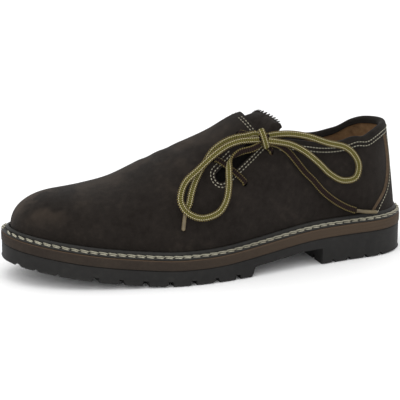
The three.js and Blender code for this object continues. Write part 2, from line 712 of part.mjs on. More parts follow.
// The tongue: a sheet under the vamp that covers the slit and ends in a pinked edge behind the throat
function tongue() {
  const last = TONGUE.length - 1;
  const stretch = TONGUE[last].at - TONGUE[0].at;
  const point = (column, row, inset) => {
    const across = (2 * column) / TONGUE_COLUMNS - 1;
    const tooth = column % 2 === 0 ? 0 : TOOTH_LENGTH / SOLE_LENGTH;
    const slanted = TONGUE_SLANT * (across + 1) / 2 + TONGUE_CORNER * across ** 4;
    const start = TONGUE[0].at + slanted + tooth;
    const share = start + (TONGUE[last].at - start) * ((TONGUE[row].at - TONGUE[0].at) / stretch);
    const around = Math.abs(across) * read(TONGUE, across < 0 ? 'outer' : 'inner', share);
    const deeper = TONGUE_DEEPER * (1 - smooth(share, THROAT - 0.01, THROAT + 0.03));
    const side = across < 0 ? -1 : 1;
    const found = lastPoint(share, side, around, inset + deeper);
    const ridge = lastPoint(share, side, 0, inset + deeper);
    const fallen = ridge.z - TONGUE_FALL * (found.y - ridge.y) ** 2;
    const loose = 1 - smooth(share, TONGUE_FREE_FROM, TONGUE_FREE_TO);
    const free = loose * (1 - smooth(around, TONGUE_FLAT_FROM, TONGUE_FLAT_TO));
    found.z = THREE.MathUtils.lerp(found.z, fallen, free);
    const crown = Math.max(free, 1 - smooth(around, TONGUE_CROWN_FROM, TONGUE_CROWN_TO));
    found.z += (read(TONGUE, 'rise', share) * crown - read(TONGUE, 'droop', share)) * INSTEP_HEIGHT;
    return found;
  };
  const outer = WALL + TONGUE_CLEARANCE;
  return shellPatch(point, TONGUE_COLUMNS, last, outer, outer + TONGUE_THICKNESS);
}

// A round tube along a smooth curve through a list of points
function tube(points, diameter, steps) {
  const outline = new THREE.Shape(Array.from({ length: LACE_SIDES }, (_, k) => {
    const angle = (2 * Math.PI * k) / LACE_SIDES;
    return new THREE.Vector2(Math.cos(angle), Math.sin(angle)).multiplyScalar(diameter / 2);
  }));
  const extrudePath = new THREE.CatmullRomCurve3(points, false, 'centripetal');
  return new THREE.ExtrudeGeometry(outline, { steps, extrudePath, bevelEnabled: false });
}

// A bar of lace between two eyelets: out of one hole, over the slit and into the other
const BAR_LIFT = 0.5;
const BAR_SINK = 0.5;
const BAR_SHOULDER = 0.75;
const BAR_ARCH = 0.3;
const BAR_TOP = 0.4;
const BAR_STEPS = 14;

function laceBar(from, to) {
  const rise = LACE_DIAMETER / 2 + GAP + BAR_LIFT;
  const between = (t) => ({
    at: THREE.MathUtils.lerp(from.at, to.at, t),
    around: THREE.MathUtils.lerp(from.around, to.around, t),
  });
  const points = [
    above(from, -BAR_SINK),
    above(between(0.03), rise * BAR_SHOULDER),
    above(between(0.2), rise + BAR_ARCH),
    above(between(0.5), rise + BAR_TOP),
    above(between(0.8), rise + BAR_ARCH),
    above(between(0.97), rise * BAR_SHOULDER),
    above(to, -BAR_SINK),
  ];
  return tube(points, LACE_DIAMETER, BAR_STEPS);
}

const vector = ([x, y, z]) => new THREE.Vector3(x, y, z);

// The lace's free runs, from the knot outwards, chosen by hand on the outer side of the shoe
const FRONT_LOOP = [
  [-89.9, -37, 96.5], [-102, -36, 96.3], [-112, -35.5, 93.6], [-124, -37, 87], [-135, -39, 79], [-145, -41, 71.6],
  [-150, -45, 64], [-151, -48, 59], [-148, -51, 53], [-139, -52, 48], [-131, -52, 48], [-123, -51, 51],
  [-118, -50, 58], [-115, -47, 68], [-114, -44, 77], [-111, -40, 85], [-104, -39, 89], [-95, -40, 91],
].map(vector);

const REAR_LOOP = [
  [-80.4, -36.4, 98.6], [-67, -37, 99], [-52, -37, 96], [-36, -37, 90], [-19, -34, 84], [-11, -33, 76],
  [-8, -32, 68], [-11, -33, 61], [-21, -34, 60], [-32, -36, 66], [-44, -39, 77], [-55, -40, 86],
  [-66, -41, 92], [-79.4, -42, 95.6],
].map(vector);

const FRONT_END = [
  [-89.6, -33.2, 99.8], [-97, -32, 98.5], [-105, -31, 97.5], [-113, -30, 94.5], [-121, -30, 89], [-127, -32, 82],
  [-132.7, -35.6, 76.2], [-137.4, -39, 70.2], [-141.6, -43.3, 63.5], [-144.4, -46.4, 57], [-147.2, -47.3, 52.4],
].map(vector);

const FRONT_AGLET = [[-147.4, -47.6, 51.7], [-149.2, -49.8, 45.6], [-150.6, -51.8, 39.6]].map(vector);

const REAR_END = [
  [-80.4, -38.6, 94], [-77.5, -38.6, 93], [-73, -38.4, 91], [-66.5, -38, 86], [-59.5, -37.4, 78],
  [-53, -37.2, 70], [-46, -37, 63], [-38, -36.4, 54], [-27, -34.8, 45], [-17, -33, 39], [-10, -32, 36],
].map(vector);

const REAR_AGLET = [[-9, -31.8, 35.6], [-1, -31.6, 34], [9, -30.6, 32.6]].map(vector);

function knot() {
  const ball = new THREE.SphereGeometry(0.5, 12, 8);
  ball.scale(KNOT_SIZE.x, KNOT_SIZE.y, KNOT_SIZE.z);
  const place = above(KNOT_PLACE, 2 * GAP + 1.6 + LACE_DIAMETER + KNOT_SIZE.y / 2);
  ball.translate(place.x, place.y, place.z);
  return mergeVertices(ball.deleteAttribute('normal').deleteAttribute('uv'), 1e-3);
}

// Finishes
const finish = (color, roughness) => new THREE.MeshStandardMaterial({ color, roughness, metalness: 0 });
const NUBUCK = finish(0x3b342f, 0.95);
const NUBUCK_DARK = finish(0x332e2a, 0.95);
const RUBBER = finish(0x2b2b2a, 0.75);
const MIDSOLE_BROWN = finish(0x54483b, 0.8);
const WELT_LEATHER = finish(0x2e2c29, 0.7);
const INSOLE_SUEDE = finish(0x7d5c3e, 0.9);
const LACE = finish(0x8d835e, 0.9);
const AGLET = finish(0x8a8578, 0.6);

const shoe = new THREE.Group();

function piece(name, geometry, material) {
  const mesh = new THREE.Mesh(geometry, material);
  mesh.name = name;
  shoe.add(mesh);
}

piece('outsole', outsole(), RUBBER);
piece('midsole', midsole(), MIDSOLE_BROWN);
piece('welt', welt(), WELT_LEATHER);
piece('insole', insole(), INSOLE_SUEDE);
piece('upper', upper(), NUBUCK);
piece('collar_binding', collarBinding(), NUBUCK_DARK);
piece('heel_counter', heelCounter(), NUBUCK);
piece('tongue', tongue(), NUBUCK_DARK);
piece('lace_bar_upper', laceBar(EYELETS.vamp_upper, EYELETS.quarter_upper), LACE);
piece('lace_bar_lower', laceBar(EYELETS.vamp_lower, EYELETS.quarter_lower), LACE);
piece('lace_knot', knot(), LACE);
piece('lace_loop_front', tube(FRONT_LOOP, LACE_DIAMETER, 22), LACE);
piece('lace_loop_rear', tube(REAR_LOOP, LACE_DIAMETER, 22), LACE);
piece('lace_end_front', tube(FRONT_END, LACE_DIAMETER, 11), LACE);
piece('lace_end_rear', tube(REAR_END, LACE_DIAMETER, 11), LACE);
piece('aglet_front', tube(FRONT_AGLET, AGLET_DIAMETER, 2), AGLET);
piece('aglet_rear', tube(REAR_AGLET, AGLET_DIAMETER, 2), AGLET);

export default shoe;
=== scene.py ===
"""Haferl shoe for the left foot: a low country shoe of nubuck, laced on its outer side.
It is dressed over its frame.

Lengths are in millimetres, as on a last-maker's drawing, and become metres when a mesh is made.
The toe points to -X, the outer side of the foot to -Y, and the cleated sole stands on z = 0."""

import math

import bpy
import numpy as np
from mathutils import Matrix, Vector


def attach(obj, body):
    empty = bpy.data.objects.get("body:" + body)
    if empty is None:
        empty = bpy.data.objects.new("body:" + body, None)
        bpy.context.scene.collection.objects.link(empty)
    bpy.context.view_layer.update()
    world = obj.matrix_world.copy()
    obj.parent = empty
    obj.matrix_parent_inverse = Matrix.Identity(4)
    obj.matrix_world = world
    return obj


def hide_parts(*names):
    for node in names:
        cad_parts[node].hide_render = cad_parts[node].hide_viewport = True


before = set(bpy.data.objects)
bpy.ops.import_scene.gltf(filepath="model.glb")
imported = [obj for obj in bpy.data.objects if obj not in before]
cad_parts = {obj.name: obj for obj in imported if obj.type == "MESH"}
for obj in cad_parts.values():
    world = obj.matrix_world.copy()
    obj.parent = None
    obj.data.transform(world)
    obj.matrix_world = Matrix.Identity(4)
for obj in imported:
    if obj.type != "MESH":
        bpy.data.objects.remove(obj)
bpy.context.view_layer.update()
MM = 0.001

# Camera: a long lens in front of the outer side, turned towards the toe and looking a little down
CAMERA_TURN = math.radians(-20.8)
CAMERA_RISE = math.radians(15.6)
CAMERA_ROLL = math.radians(0.42)
CAMERA_DISTANCE = 1.405
CAMERA_TARGET = Vector((-0.1182, 0.0012, 0.045))


def make_camera():
    """Places the camera on the line from its target given by the turn and the rise, then rolls it."""
    turn, rise, roll = CAMERA_TURN, CAMERA_RISE, CAMERA_ROLL
    back = Vector((math.sin(turn) * math.cos(rise), -math.cos(turn) * math.cos(rise), math.sin(rise)))
    right = Vector((0, 0, 1)).cross(back).normalized()
    up = back.cross(right)
    rolled_right = right * math.cos(roll) + up * math.sin(roll)
    rolled_up = up * math.cos(roll) - right * math.sin(roll)
    data = bpy.data.cameras.new("camera")
    data.lens = 175
    data.sensor_width = 36
    data.clip_start = 0.05
    data.clip_end = 50
    camera = bpy.data.objects.new("camera", data)
    place = CAMERA_TARGET + back * CAMERA_DISTANCE
    axes = Matrix((rolled_right, rolled_up, back)).transposed()
    camera.matrix_world = Matrix.Translation(place) @ axes.to_4x4()
    bpy.context.scene.collection.objects.link(camera)
    bpy.context.scene.camera = camera


make_camera()

# Sizes of the sole, the welt and the last
SOLE_LENGTH = 302
BALL_WIDTH = 103
HEEL_BACK = 38
OUTSOLE_TOP_FORE = 11.2
OUTSOLE_TOP_HEEL = 19.4
MIDSOLE_THICKNESS = 7.4
TOE_SPRING = 14.7
WAIST_HEIGHT_FRONT = 7.8
WAIST_HEIGHT_BACK = 12.3
CLEAT_DEPTH = 3.8
CLEAT_GAP = 3.6
CLEAT_PITCH_FORE = 17
CLEAT_PITCH_HEEL = 13.5
FIRST_CLEAT_FORE = 11.4
FIRST_CLEAT_HEEL = 9.5
EDGE_CLEAT_LENGTH = 15
CHANNEL_WIDTH = 3.2
WELT_THICKNESS = 1.5
BEAD_WIDTH = 3
BEAD_HEIGHT = 2.9
SIDE_MARGIN = 8
TOE_MARGIN = 6.5
HEEL_MARGIN = 5.4
INSOLE_THICKNESS = 4.5
INSTEP_HEIGHT = 107.3
COLLAR_HEIGHT = 94.5
WALL = 2
HEEL_LEAN = 0.122
BINDING_THICKNESS = 1.2
BINDING_CROWN = 2.1
BINDING_OUTER_LEG = 6
BINDING_FRONT_LEG = 3.6
BINDING_INNER_LEG = 3.4
BINDING_CLEARANCE = 0.65
SLIT_WIDTH = 7.2
EYELET_DIAMETER = 4.6
TONGUE_SHEET = 0.8
TONGUE_DEPTH = 3.2
TONGUE_DEEPER = 1.7
GAP = 0.3
SHALLOWER = 0.4
CUT_OUTSIDE = 0.5
CUT_INSIDE = 0.1
WELT_STITCH_PITCH = 6.6
STITCH_LIFT = 0.15
SLIT_STITCHES = (1.2, 3.2)
SLIT_PITCH = 2.6
VAMP_PITCH = 3.0
COLLAR_PITCH = 2.5
COUNTER_PITCH = 2.3
COUNTER_OUT = 1.8
TONGUE_SHOWN_FROM = 86
TONGUE_SHOWN_TO = 92

# Shares of the length where the shape changes
TOE_ROUNDING_FROM = 0.74
TOE_ROUNDING_POWER = 2.3
HEEL_ROUNDING_TO = 0.13
TOE_BOX_FROM = 0.878
TOE_BOX_POWER = 2.4
SPRING_FROM = 0.618
SPRING_POWER = 1.54
LIFT_FROM = 0.23
LIFT_TO = 0.58
LEAN_TO = 0.30
TREAD_BACK = 0.450
TOE_CLEATS = (0.905, 0.948, 0.981)
HEEL_BREAST = 0.2545
THROAT = 0.4155
BINDING_END = 0.372
TONGUE_SLANT = 0.056
TONGUE_CURL = 1.6
TONGUE_CURL_REACH = 0.011
TONGUE_FALL = 0.006
TONGUE_CORNER = 0.008
TONGUE_TOOTH = 2.8
TONGUE_TEETH = 17
TONGUE_CROWN_FROM = 0.06
TONGUE_CROWN_TO = 0.24
TONGUE_FREE_FROM = 0.355
TONGUE_FREE_TO = 0.398
TONGUE_FLAT_FROM = 0.34
TONGUE_FLAT_TO = 0.46
FORE_CLEATS_END = 0.87
HEEL_CLEATS_END = 0.066
WAIST_RAMP = 0.011
WAIST_FLAT = 0.05
VAMP_STITCHES = (0.0100, 0.0175)
VAMP_STITCHES_BACK = 0.386
SLIT_STITCHES_FRONT = 0.035


def columns(names, rows):
    """A table's rows as arrays, each under its column's name."""
    return dict(zip(names.split(), np.array(rows, float).T))


# Sole outline from the heel (0) to the toe (1): middle line and half width, as shares of the ball width
OUTLINE = columns("at middle half", [
    (0.00, 0.005, 0.359), (0.12, 0.008, 0.352), (0.26, -0.031, 0.363), (0.42, -0.095, 0.388),
    (0.54, -0.078, 0.461), (0.64, -0.037, 0.500), (0.74, 0.012, 0.490), (0.88, 0.033, 0.442),
    (0.96, 0.049, 0.413), (1.00, 0.058, 0.403),
])

# Sections of the last from the heel (0) to the toe (1)
SECTIONS = columns("at ridge ridge_y bulge_out bulge_in handle shoulder_out shoulder_in", [
    (0.000, 1.193, 0.005, 0.010, 0.010, 0.40, 0.80, 0.80),
    (0.117, 1.193, 0.000, 0.015, 0.019, 0.40, 0.84, 0.84),
    (0.220, 1.118, 0.000, 0.019, 0.019, 0.42, 0.95, 0.95),
    (0.323, 1.048, -0.010, 0.029, 0.024, 0.42, 0.95, 0.90),
    (0.374, 1.030, -0.010, 0.034, 0.029, 0.42, 0.90, 0.85),
    (0.429, 1.000, 0.000, 0.039, 0.039, 0.42, 0.84, 0.78),
    (0.498, 0.903, 0.015, 0.044, 0.049, 0.44, 0.76, 0.72),
    (0.580, 0.810, 0.034, 0.053, 0.058, 0.48, 0.70, 0.68),
    (0.662, 0.717, 0.053, 0.063, 0.063, 0.52, 0.66, 0.66),
    (0.745, 0.618, 0.063, 0.068, 0.063, 0.56, 0.66, 0.68),
    (0.806, 0.585, 0.063, 0.068, 0.058, 0.58, 0.68, 0.72),
    (0.889, 0.567, 0.058, 0.058, 0.049, 0.60, 0.72, 0.76),
    (1.000, 0.558, 0.053, 0.039, 0.039, 0.62, 0.76, 0.80),
])

# Height of the collar's top edge and the vamp's edge, as a share of the collar height
TOPLINE = columns("at height outer", [
    (0.000, 1.012, 0.000), (0.035, 0.996, 0.000), (0.056, 0.972, 0.006), (0.095, 0.910, 0.034),
    (0.127, 0.888, 0.064), (0.164, 0.873, 0.060), (0.203, 0.877, 0.053), (0.248, 0.896, 0.046),
    (0.289, 0.921, 0.046), (0.330, 0.952, 0.036), (0.378, 1.005, 0.000), (0.394, 1.028, 0.000),
    (0.404, 1.075, 0.000), (0.4155, 1.143, 0.000),
])

# Front edge of the heel counter: share of the upper's length at each share of the counter's height
COUNTER_EDGE = columns("at length", [
    (0.00, 0.095), (0.10, 0.080), (0.28, 0.046), (0.58, 0.020), (0.85, 0.018), (1.00, 0.023),
])

# Tongue: where each row lies along the upper, how far it reaches round each side, and how far it droops
# and its middle rises, as shares of the instep height
TONGUE = columns("at outer inner droop rise", [
    (0.325, 0.45, 0.28, 0.060, 0.036), (0.335, 0.42, 0.29, 0.046, 0.036), (0.355, 0.39, 0.31, 0.032, 0.040),
    (0.378, 0.38, 0.33, 0.016, 0.028), (0.400, 0.42, 0.34, 0.004, 0.012), (0.417, 0.58, 0.34, 0, 0),
    (0.450, 0.62, 0.34, 0, 0), (0.500, 0.66, 0.34, 0, 0), (0.560, 0.66, 0.32, 0, 0),
    (0.620, 0.50, 0.26, 0, 0),
])

# Places on the outer side: share of the length, and share of the way from the ridge to the feather
SLIT_TOP = (0.410, 0.348)
SLIT_END = (0.517, 0.482)
EYELETS = {
    "vamp_upper": (0.449, 0.235), "vamp_lower": (0.519, 0.345),
    "quarter_upper": (0.379, 0.456), "quarter_lower": (0.458, 0.597),
}

# The lace: a flat oval braid, and the routes of its free runs from the knot outwards
LACE_WIDTH = 4.8
LACE_DEPTH = 2.2
FRONT_LOOP = [
    (-89.9, -37, 96.5), (-102, -36, 96.3), (-112, -35.5, 93.6), (-124, -37, 87), (-135, -39, 79),
    (-145, -41, 71.6), (-150, -45, 64), (-151, -48, 59), (-148, -51, 53), (-139, -52, 48),
    (-131, -52, 48), (-123, -51, 51),
    (-118, -50, 58), (-115, -47, 68), (-114, -44, 77), (-111, -40, 85), (-104, -39, 89), (-95, -40, 91),
]
REAR_LOOP = [
    (-80.4, -36.4, 98.6), (-67, -37, 99), (-52, -37, 96), (-36, -37, 90), (-19, -34, 84), (-11, -33, 76),
    (-8, -32, 68), (-11, -33, 61), (-21, -34, 60), (-32, -36, 66), (-44, -39, 77), (-55, -40, 86),
    (-66, -41, 92), (-79.4, -42, 95.6),
]
FRONT_END = [
    (-89.6, -33.2, 99.8), (-97, -32, 98.5), (-105, -31, 97.5), (-113, -30, 94.5), (-121, -30, 89),
    (-127, -32, 82), (-132.7, -35.6, 76.2), (-137.4, -39, 70.2), (-141.6, -43.3, 63.5), (-144.4, -46.4, 57),
    (-147.2, -47.3, 52.4),
]
REAR_END = [
    (-80.4, -38.6, 94), (-77.5, -38.6, 93), (-73, -38.4, 91), (-66.5, -38, 86), (-59.5, -37.4, 78),
    (-53, -37.2, 70), (-46, -37, 63), (-38, -36.4, 54), (-27, -34.8, 45), (-17, -33, 39), (-10, -32, 36),
]
FRONT_AGLET = [(-147.4, -47.6, 51.7), (-149.2, -49.8, 45.6), (-150.6, -51.8, 39.6)]
REAR_AGLET = [(-9, -31.8, 35.6), (-1, -31.6, 34), (9, -30.6, 32.6)]
KNOT = np.array((-85.1, -37.2, 96.9))
KNOT_DOWN = 6.6
KNOT_OUT = 3.9
KNOT_CORE = [(-3.2, 0.6, 0.2), (-1.6, 0.1, 0.5), (0, 0, 0.4), (1.6, 0.2, 0.5), (3.2, 0.7, 0.4)]
LACE_SIDES = 20
OVAL_WIDE = 0.8
OVAL_DEEP = 0.9
BRAID_PITCH = 0.0016
AGLET_RINGS = 26
AGLET_SIDES = 16
AGLET_RADIUS = 1.35
AGLET_CRIMP = 0.12
AGLET_WIDE = 1.1
AGLET_DEEP = 0.85

# A bar of lace over the slit: share of the way from eyelet to eyelet, and height over the upper
BAR_ROUTE = [
    (0, -4.2), (0, -0.6), (0.05, 1.9), (0.2, 2.4), (0.5, 2.6), (0.8, 2.4), (0.95, 1.9), (1, -0.6), (1, -4.2),
]


def read(table, column, at):
    """A smooth cubic through a column.
    At each row its slope is the two neighbouring slopes, weighted by closeness."""
    places, values = table["at"], table[column]
    step = np.diff(places)
    rise = np.diff(values) / step
    inner = (rise[:-1] * step[1:] + rise[1:] * step[:-1]) / (step[:-1] + step[1:])
    slope = np.concatenate([rise[:1], inner, rise[-1:]])
    at = np.clip(at, places[0], places[-1])
    row = np.clip(np.searchsorted(places, at, side="right") - 1, 0, len(places) - 2)
    h = step[row]
    u = (at - places[row]) / h
    return ((1 + 2 * u) * (1 - u) ** 2 * values[row] + u * (1 - u) ** 2 * h * slope[row]
            + u * u * (3 - 2 * u) * values[row + 1] + u * u * (u - 1) * h * slope[row + 1])


def smooth(value, low, high):
    """0 below low, 1 above high, and an even S between them."""
    t = np.clip((value - low) / (high - low), 0, 1)
    return t * t * (3 - 2 * t)


def bezier(a, b, c, d, t):
    """A cubic Bezier curve's value."""
    s = 1 - t
    return a * s ** 3 + 3 * b * t * s * s + 3 * c * t * t * s + d * t ** 3


def round_ends(share):
    """Width left at a share of the length: an ellipse at the heel, a blunter superellipse at the toe."""
    toe = np.clip((share - TOE_ROUNDING_FROM) / (1 - TOE_ROUNDING_FROM), 0, 1)
    heel = np.clip((HEEL_ROUNDING_TO - share) / HEEL_ROUNDING_TO, 0, 1)
    return (1 - toe ** TOE_ROUNDING_POWER) ** (1 / TOE_ROUNDING_POWER) * np.sqrt(1 - heel ** 2)


def spring(x):
    """How far the toe is lifted: a power curve from the ball forwards."""
    past = np.clip(((HEEL_BACK - x) / SOLE_LENGTH - SPRING_FROM) / (1 - SPRING_FROM), 0, 1)
    return TOE_SPRING * past ** SPRING_POWER


def outsole_top(x):
    lift = smooth((HEEL_BACK - x) / SOLE_LENGTH, LIFT_FROM, LIFT_TO)
    return OUTSOLE_TOP_HEEL + (OUTSOLE_TOP_FORE - OUTSOLE_TOP_HEEL) * lift + spring(x)


def midsole_floor(x):
    return outsole_top(x) + GAP


def midsole_top(x):
    return midsole_floor(x) + MIDSOLE_THICKNESS


def welt_top(x):
    return midsole_top(x) + GAP + WELT_THICKNESS


def outline(share, across, inset=0.0):
    """Plan of the sole: across runs from -1 on the outer edge to 1 on the inner edge."""
    share, across, inset = np.broadcast_arrays(np.asarray(share, float), across, inset)
    middle = read(OUTLINE, "middle", share) * BALL_WIDTH
    half = (read(OUTLINE, "half", share) * BALL_WIDTH - inset) * round_ends(share)
    x = HEEL_BACK - inset - (SOLE_LENGTH - 2 * inset) * share
    return np.stack([x, middle + across * half, np.zeros_like(x)], -1)


def last(share, turn, inset=0.0):
    """The last: turn runs from -1 at the outer feather over 0 at the ridge to 1 at the inner feather.
    Each half section is one cubic Bezier curve, whose handles come from the table of sections."""
    share, turn, inset = np.broadcast_arrays(np.asarray(share, float), np.asarray(turn, float), inset)
    outer = turn < 0
    side = np.where(outer, -1.0, 1.0)
    back = HEEL_BACK - HEEL_MARGIN - inset
    front = HEEL_BACK - SOLE_LENGTH + TOE_MARGIN + inset
    x = back + (front - back) * share
    ends = round_ends(share)
    middle = read(OUTLINE, "middle", share) * BALL_WIDTH
    half = (read(OUTLINE, "half", share) * BALL_WIDTH - SIDE_MARGIN - inset) * ends
    bulge_out = read(SECTIONS, "bulge_out", share)
    bulge_in = read(SECTIONS, "bulge_in", share)
    bulge = np.where(outer, bulge_out, bulge_in) * BALL_WIDTH * ends
    shoulder_out = read(SECTIONS, "shoulder_out", share)
    shoulder_in = read(SECTIONS, "shoulder_in", share)
    shoulder = np.where(outer, shoulder_out, shoulder_in)
    ridge_y = middle + (read(SECTIONS, "ridge_y", share) * BALL_WIDTH - middle) * ends
    feather_y = middle + side * half
    feather = welt_top(x) + GAP
    toe = np.clip((share - TOE_BOX_FROM) / (1 - TOE_BOX_FROM), 0, 1)
    toe_box = (1 - toe ** TOE_BOX_POWER) ** (1 / TOE_BOX_POWER)
    ridge = feather + (read(SECTIONS, "ridge", share) * INSTEP_HEIGHT - inset - feather) * toe_box
    handle = feather + (ridge - feather) * read(SECTIONS, "handle", share)
    t = 1 - np.abs(turn)
    y = bezier(feather_y, feather_y + side * bulge, ridge_y + (feather_y - ridge_y) * shoulder, ridge_y, t)
    z = bezier(feather, handle, ridge, ridge, t)
    lean = HEEL_LEAN * (z - feather) * (1 - smooth(share, 0, LEAN_TO))
    return np.stack([x - lean, y, z], -1)


def around_at(share, inset, height):
    """Halves the way from ridge to feather until the section has the height."""
    low = np.zeros(np.broadcast(share, inset, height).shape)
    high = np.ones_like(low)
    for _ in range(32):
        middle = (low + high) / 2
        above = last(share, -middle, inset)[..., 2] > height
        low = np.where(above, middle, low)
        high = np.where(above, high, middle)
    return (low + high) / 2


def edge_height(share, side):
    """Height of the upper's cut edge on one side: the collar stops under its binding's crown."""
    bound = 1 - smooth(share, BINDING_END, BINDING_END + 0.012)
    higher = np.where(np.asarray(side) < 0, read(TOPLINE, "outer", share), 0.0)
    return (read(TOPLINE, "height", share) + higher) * COLLAR_HEIGHT - BINDING_CROWN * bound


def edge_around(share, side):
    """How far round from the ridge the upper's edge lies: 0 from the throat forwards."""
    return np.where(share >= THROAT, 0.0, around_at(share, 0.0, edge_height(share, side)))


def steps(points):
    """Distance along a line of points, from its start to each point."""
    return np.concatenate([[0], np.cumsum(np.linalg.norm(np.diff(points, axis=0), axis=1))])


def even_shares(count, low=0.0, high=1.0, turn=-0.7):
    """Shares of the length at even distances along one line of the last."""
    dense = low + (high - low) * (1 - np.cos(np.pi * np.linspace(0, 1, 1600))) / 2
    run = steps(last(dense, turn))
    return np.interp(np.linspace(0, run[-1], count), run, dense)


# Meshes from arrays

# Points in one cell of this grid are joined. The shift keeps round measures off the cells' borders
MERGE_GRID = 0.004
MERGE_SHIFT = 0.137


def quads_of(rows, count, wrap=False, flip=False):
    """Quads between neighbouring points of a grid with its rows one after the other."""
    row = np.arange(rows - 1)[:, None]
    column = np.arange(count if wrap else count - 1)[None, :]
    after = (column + 1) % count
    here, beyond = row * count, (row + 1) * count
    corners = [here + column, beyond + column, beyond + after, here + after]
    quads = np.stack(corners, -1).reshape(-1, 4)
    return quads[:, ::-1] if flip else quads


def clean(faces):
    """Each face as a list of its corners, without repeats, and without faces that have closed up."""
    faces = np.asarray(faces)
    repeats = (faces == np.roll(faces, 1, axis=1)).any(axis=1)
    whole = faces[~repeats].tolist()
    closed = [list(dict.fromkeys(face)) for face in faces[repeats].tolist()]
    return whole + [face for face in closed if len(face) > 2]


def piece(name, points, faces, materials, replaces=(), slot=None, marks=None, attributes=None, sharp=40):
    """A finished object from points in millimetres. marks gives each face its material.
    attributes maps a name to one row of numbers a point."""
    mesh = bpy.data.meshes.new(name)
    mesh.from_pydata((np.asarray(points) * MM).tolist(), [], faces)
    for key, values in (attributes or {}).items():
        values = np.asarray(values, np.float32)
        kind, field = ("FLOAT", "value") if values.ndim == 1 else ("FLOAT_VECTOR", "vector")
        mesh.attributes.new(key, kind, "POINT").data.foreach_set(field, values.ravel())
    for material in materials:
        mesh.materials.append(material)
    if marks is not None:
        mesh.polygons.foreach_set("material_index", np.asarray(marks, np.int32))
    mesh.polygons.foreach_set("use_smooth", np.ones(len(mesh.polygons), bool))
    mesh.set_sharp_from_angle(angle=math.radians(sharp))
    mesh.validate()
    mesh.update()
    made = bpy.data.objects.new(name, mesh)
    bpy.context.scene.collection.objects.link(made)
    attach(made, "root")
    if replaces:
        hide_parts(*replaces)
    return made


def merged(points, faces):
    """Joins points that coincide. Returns the points, and the faces renumbered."""
    keys = np.round(np.asarray(points) / MERGE_GRID + MERGE_SHIFT).astype(np.int64)
    _, first, inverse = np.unique(keys, axis=0, return_index=True, return_inverse=True)
    return np.asarray(points)[first], inverse.ravel()[np.asarray(faces)]


def stacked(parts):
    """Several meshes as one: their points in a row, their faces renumbered."""
    points = np.concatenate([part[0] for part in parts])
    starts = np.cumsum([0] + [len(part[0]) for part in parts[:-1]])
    faces = np.concatenate([part[1] + start for part, start in zip(parts, starts)])
    return points, faces


def joined(parts):
    """Several meshes as one, without doubled points or faces that have closed up."""
    points, faces = merged(*stacked(parts))
    return points, clean(faces)


def grid_mesh(grid, wrap=False, flip=False):
    """A grid of points as a mesh: its points in a row, and its quads."""
    return grid.reshape(-1, 3), quads_of(*grid.shape[:2], wrap=wrap, flip=flip)


def sheet_parts(outer, inner, with_middle=False):
    """The two faces of a sheet and the four rims between them, with or without a middle line."""
    parts = [grid_mesh(outer), grid_mesh(inner, flip=True)]
    for a, b, flip in ((outer[0], inner[0], True), (outer[-1], inner[-1], False),
                       (outer[:, 0], inner[:, 0], False), (outer[:, -1], inner[:, -1], True)):
        rim = [a, (a + b) / 2, b] if with_middle else [a, b]
        parts.append(grid_mesh(np.stack(rim, 1), flip=flip))
    return parts


def tube(rings, line):
    """Rings of points along a line as a mesh, closed at both ends by a fan round the line's end."""
    count, sides = rings.shape[:2]
    points = np.concatenate([rings.reshape(-1, 3), line[:1], line[-1:]])
    first = np.arange(sides)
    after = (first + 1) % sides
    start = np.full(sides, count * sides)
    last_ring = (count - 1) * sides
    lid = np.stack([first, after, start, start], -1)
    tail = np.stack([after + last_ring, first + last_ring, start + 1, start + 1], -1)
    return points, np.concatenate([quads_of(count, sides, wrap=True), lid, tail])


def read_along(at, run, values):
    """Values that belong to a line's points, read at distances along the line."""
    return np.stack([np.interp(at, run, column) for column in values.T], -1)


def catmull(points, count):
    """An even, smooth line through points: a centripetal Catmull-Rom curve, divided evenly by length."""
    points = np.asarray(points, float)
    ends = [2 * points[0] - points[1], 2 * points[-1] - points[-2]]
    p = np.concatenate([ends[:1], points, ends[1:]])
    gaps = np.maximum(np.linalg.norm(np.diff(p, axis=0), axis=1) ** 0.5, 1e-6)[:, None]
    d0, d1, d2 = gaps[:-2], gaps[1:-1], gaps[2:]
    p0, p1, p2, p3 = p[:-3], p[1:-2], p[2:-1], p[3:]
    start = ((p1 - p0) / d0 - (p2 - p0) / (d0 + d1) + (p2 - p1) / d1) * d1
    end = ((p2 - p1) / d1 - (p3 - p1) / (d1 + d2) + (p3 - p2) / d2) * d1
    t = np.linspace(0, 1, 24, endpoint=False)[None, :, None]
    p1, p2, start, end = (a[:, None, :] for a in (p1, p2, start, end))
    fine = ((2 * t ** 3 - 3 * t ** 2 + 1) * p1 + (t ** 3 - 2 * t ** 2 + t) * start
            + (3 * t ** 2 - 2 * t ** 3) * p2 + (t ** 3 - t ** 2) * end).reshape(-1, points.shape[1])
    fine = np.concatenate([fine, points[-1:]])
    run = steps(fine)
    at = np.linspace(0, run[-1], count)
    return read_along(at, run, fine)


def unit(vectors):
    """The vectors at length 1."""
    return vectors / np.maximum(np.linalg.norm(vectors, axis=-1, keepdims=True), 1e-9)


# Materials


def linear(red, green, blue):
    """A colour given as 0 to 255 screen values, as light values."""
    values = np.array([red, green, blue]) / 255
    light = np.where(values <= 0.04045, values / 12.92, ((values + 0.055) / 1.055) ** 2.4)
    return (*light, 1.0)


def add(tree, kind, inputs=None, **settings):
    """A node with its settings, and its inputs given by name or number as values or as sockets to link."""
    made = tree.nodes.new(kind)
    for key, value in settings.items():
        setattr(made, key, value)
    for key, value in (inputs or {}).items():
        if isinstance(value, bpy.types.NodeSocket):
            tree.links.new(value, made.inputs[key])
        else:
            made.inputs[key].default_value = value
    return made


def math_of(tree, operation, a, b=0.0, clamp=False):
    """A math node's output."""
    return add(tree, "ShaderNodeMath", {0: a, 1: b}, operation=operation, use_clamp=clamp).outputs[0]


